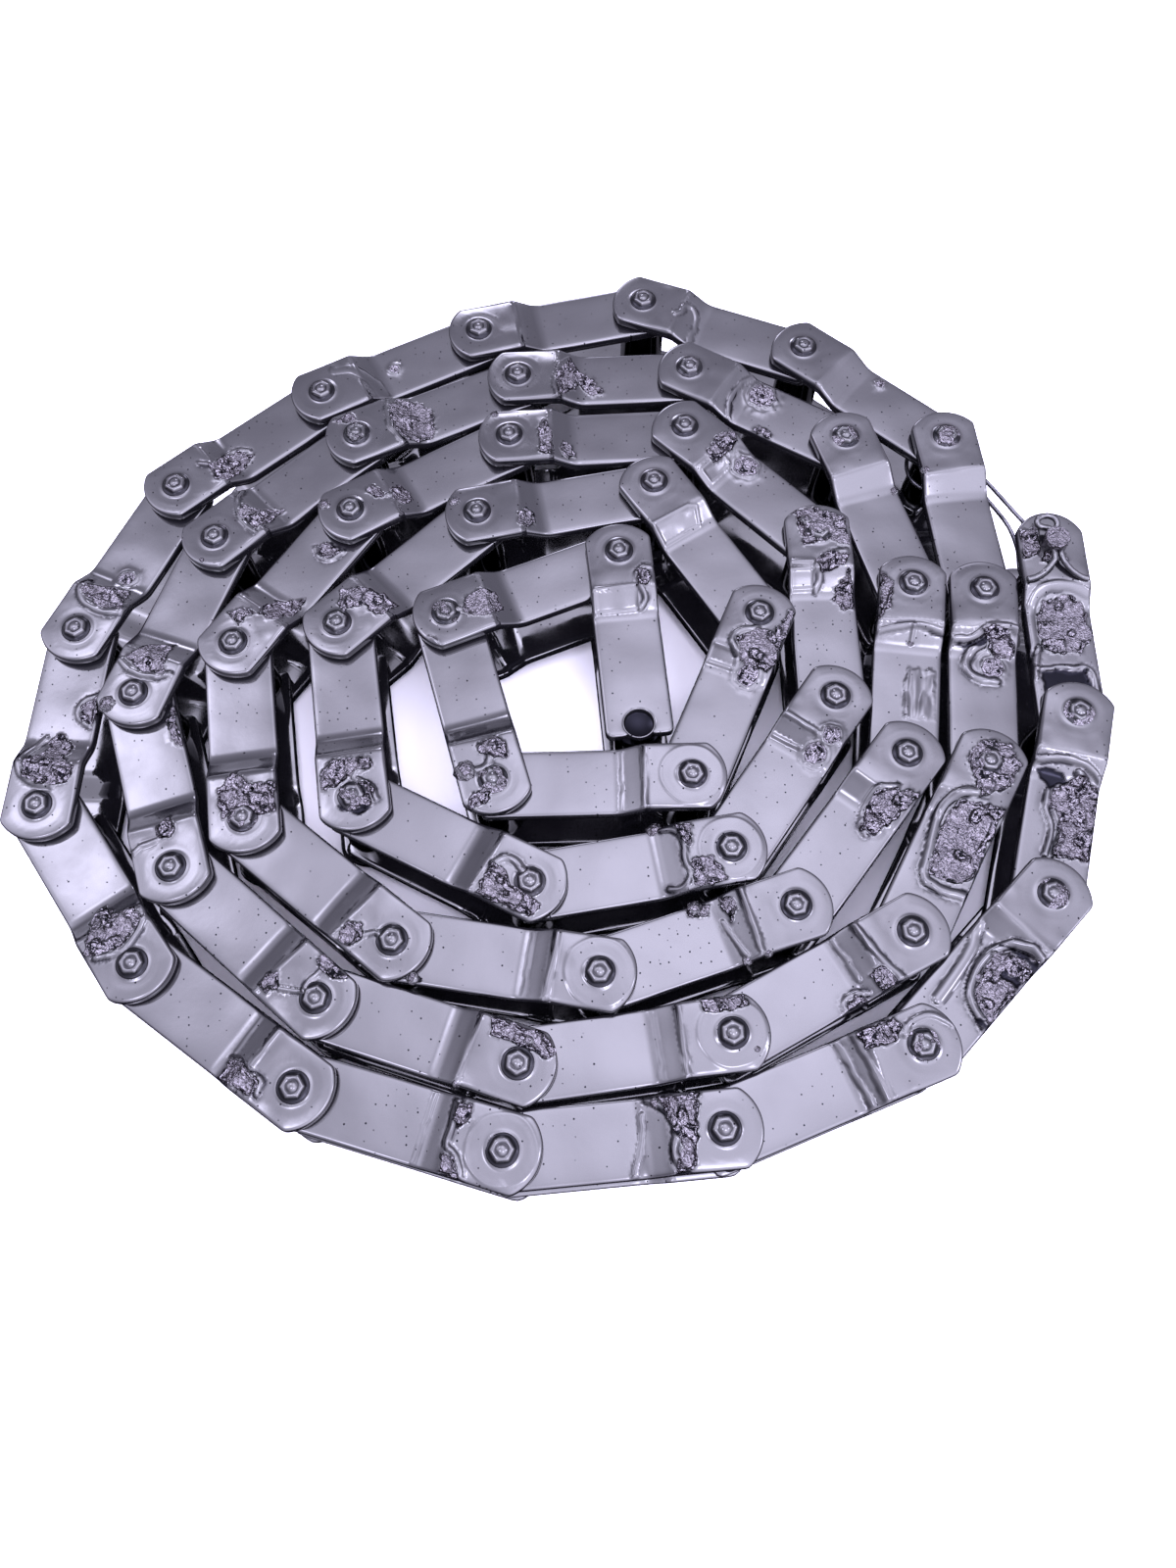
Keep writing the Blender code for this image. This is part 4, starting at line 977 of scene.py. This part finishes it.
def chain_pins():
    """The pins' places in the row frame, by the source's rule: the exact pitch, towards the next place."""
    pins = [np.array(PIN_PLACES[0], float)]
    for place in PIN_PLACES[1:]:
        run = np.array(place) - pins[-1]
        pins.append(pins[-1] + PITCH * run / np.hypot(*run))
    low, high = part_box("connecting_pin")
    shift = np.array([low.x + high.x, low.y + high.y]) / (2 * MM) - pins[-1]
    return [pin + shift for pin in pins], shift


def own(obj, material, slot, *nodes):
    """Finishes a piece: its material, its body, and the solids that it stands for, which it hides. slot is not
    used.
    """
    obj.data.materials.append(material)
    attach(obj, "root")
    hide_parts(*nodes)


def turned_stage(name, profile, material, sides=96):
    """A floor or backdrop turned from a profile of radii and heights, in metres."""
    bm = bmesh.new()
    points = [bm.verts.new((r, 0.0, z)) for r, z in profile]
    edges = [bm.edges.new(pair) for pair in zip(points, points[1:])]
    bmesh.ops.spin(bm, geom=points + edges, cent=(0, 0, 0), axis=(0, 0, 1), angle=2 * math.pi, steps=sides)
    bmesh.ops.remove_doubles(bm, verts=bm.verts, dist=1e-5)
    mesh = bpy.data.meshes.new(name)
    bm.to_mesh(mesh)
    bm.free()
    obj = new_object(name, mesh)
    obj.data.materials.append(material)
    return obj


def build():
    pins, shift = chain_pins()
    bpy.context.scene.view_settings.view_transform = "Standard"
    camera()
    studio_sky()
    coat, steel, pale = coated_steel(), bare_steel(), plain_floor()

    plans = [[Plan(*steps, notched) for steps in (FINE_STEPS, PLAIN_STEPS)] for notched in (False, True)]
    bottoms = [[plate_bottom(plan) for plan in pair] for pair in plans]
    for number in range(1, LINKS + 1):
        start, run = pins[number - 1], pins[number] - pins[number - 1]
        shell = Shell()
        shell.twist = END_TWIST * (abs(run[0]) - 0.6 * max(run[1], 0)) / PITCH
        free = int(number == 1)
        upper_plate(shell, plans[free][0], number, bottoms[free][0])
        lower_plate(shell, plans[free][1], number, bottoms[free][1])
        barrel(shell, free)
        if number < LINKS:
            amount = max([f[1] for f in FEATURES[number] if f[0] == "head"], default=0.0)
            riveted_head(shell, number, amount)
            riveted_head(shell, number, 0.0, 24, -1)
        for feature in FEATURES[number]:
            if feature[0] == "blob":
                blob(shell, feature, number)
        if number == LINKS:
            shell.lengthen(LAST_LINK_LONGER)
        place = Matrix.Translation((start[0] * MM, start[1] * MM, MID_HEIGHT * MM))
        place @= Matrix.Rotation(math.atan2(run[1], run[0]), 4, "Z")
        own(shell.make("coated_link_%02d" % number, place), coat, "coated_link", "link_%02d" % number)

    shell = Shell()
    top = MID_HEIGHT + WIDE_TOP
    profile = [(5.2, 0.0), (5.6, 0.4), (5.6, 2.2), (5.3, 2.6), (PIN_RADIUS, 2.6), (PIN_RADIUS, 30.0)]
    profile += [(r, top + rise) for r, rise in ((PIN_RADIUS, 0.4), (3.9, 2.6), (3.95, 4.4), (3.9, 5.0), (3.6, 5.5),
                                                (3.2, 5.3), (2.4, 5.2), (1.2, 5.45))]
    round_bar(shell, profile, pins[-1], rough=0.05, seed=3)
    own(shell.make("connecting_pin_round"), coat, "pin_steel", "connecting_pin")

    shell = Shell()
    route = smooth_route(COTTER_ROUTE, 5, False) + np.array([*pins[-1], top])
    wire(shell, route, COTTER_WIRE, False, rough=0.08)
    own(shell.make("cotter_pin_bent"), coat, "pin_steel", "cotter_pin")

    shell = Shell()
    route = smooth_route(TIE_ROUTE, 6, True) + np.array([*shift, MID_HEIGHT])
    wire(shell, route, TIE_WIRE, True)
    own(shell.make("tie_wire_loop"), steel, "wire_steel", "tie_wire")

    floor = turned_stage("floor", [(0.0, 0.0), (4.0, 0.0)], pale)
    floor.visible_glossy = False
    wall = turned_stage("backdrop", [(4.0, 0.0), (4.0, 5.0), (3.0, 7.5), (0.0, 8.5)], pale)
    for kind in ("diffuse", "glossy", "transmission", "shadow"):
        setattr(wall, "visible_" + kind, False)


build()
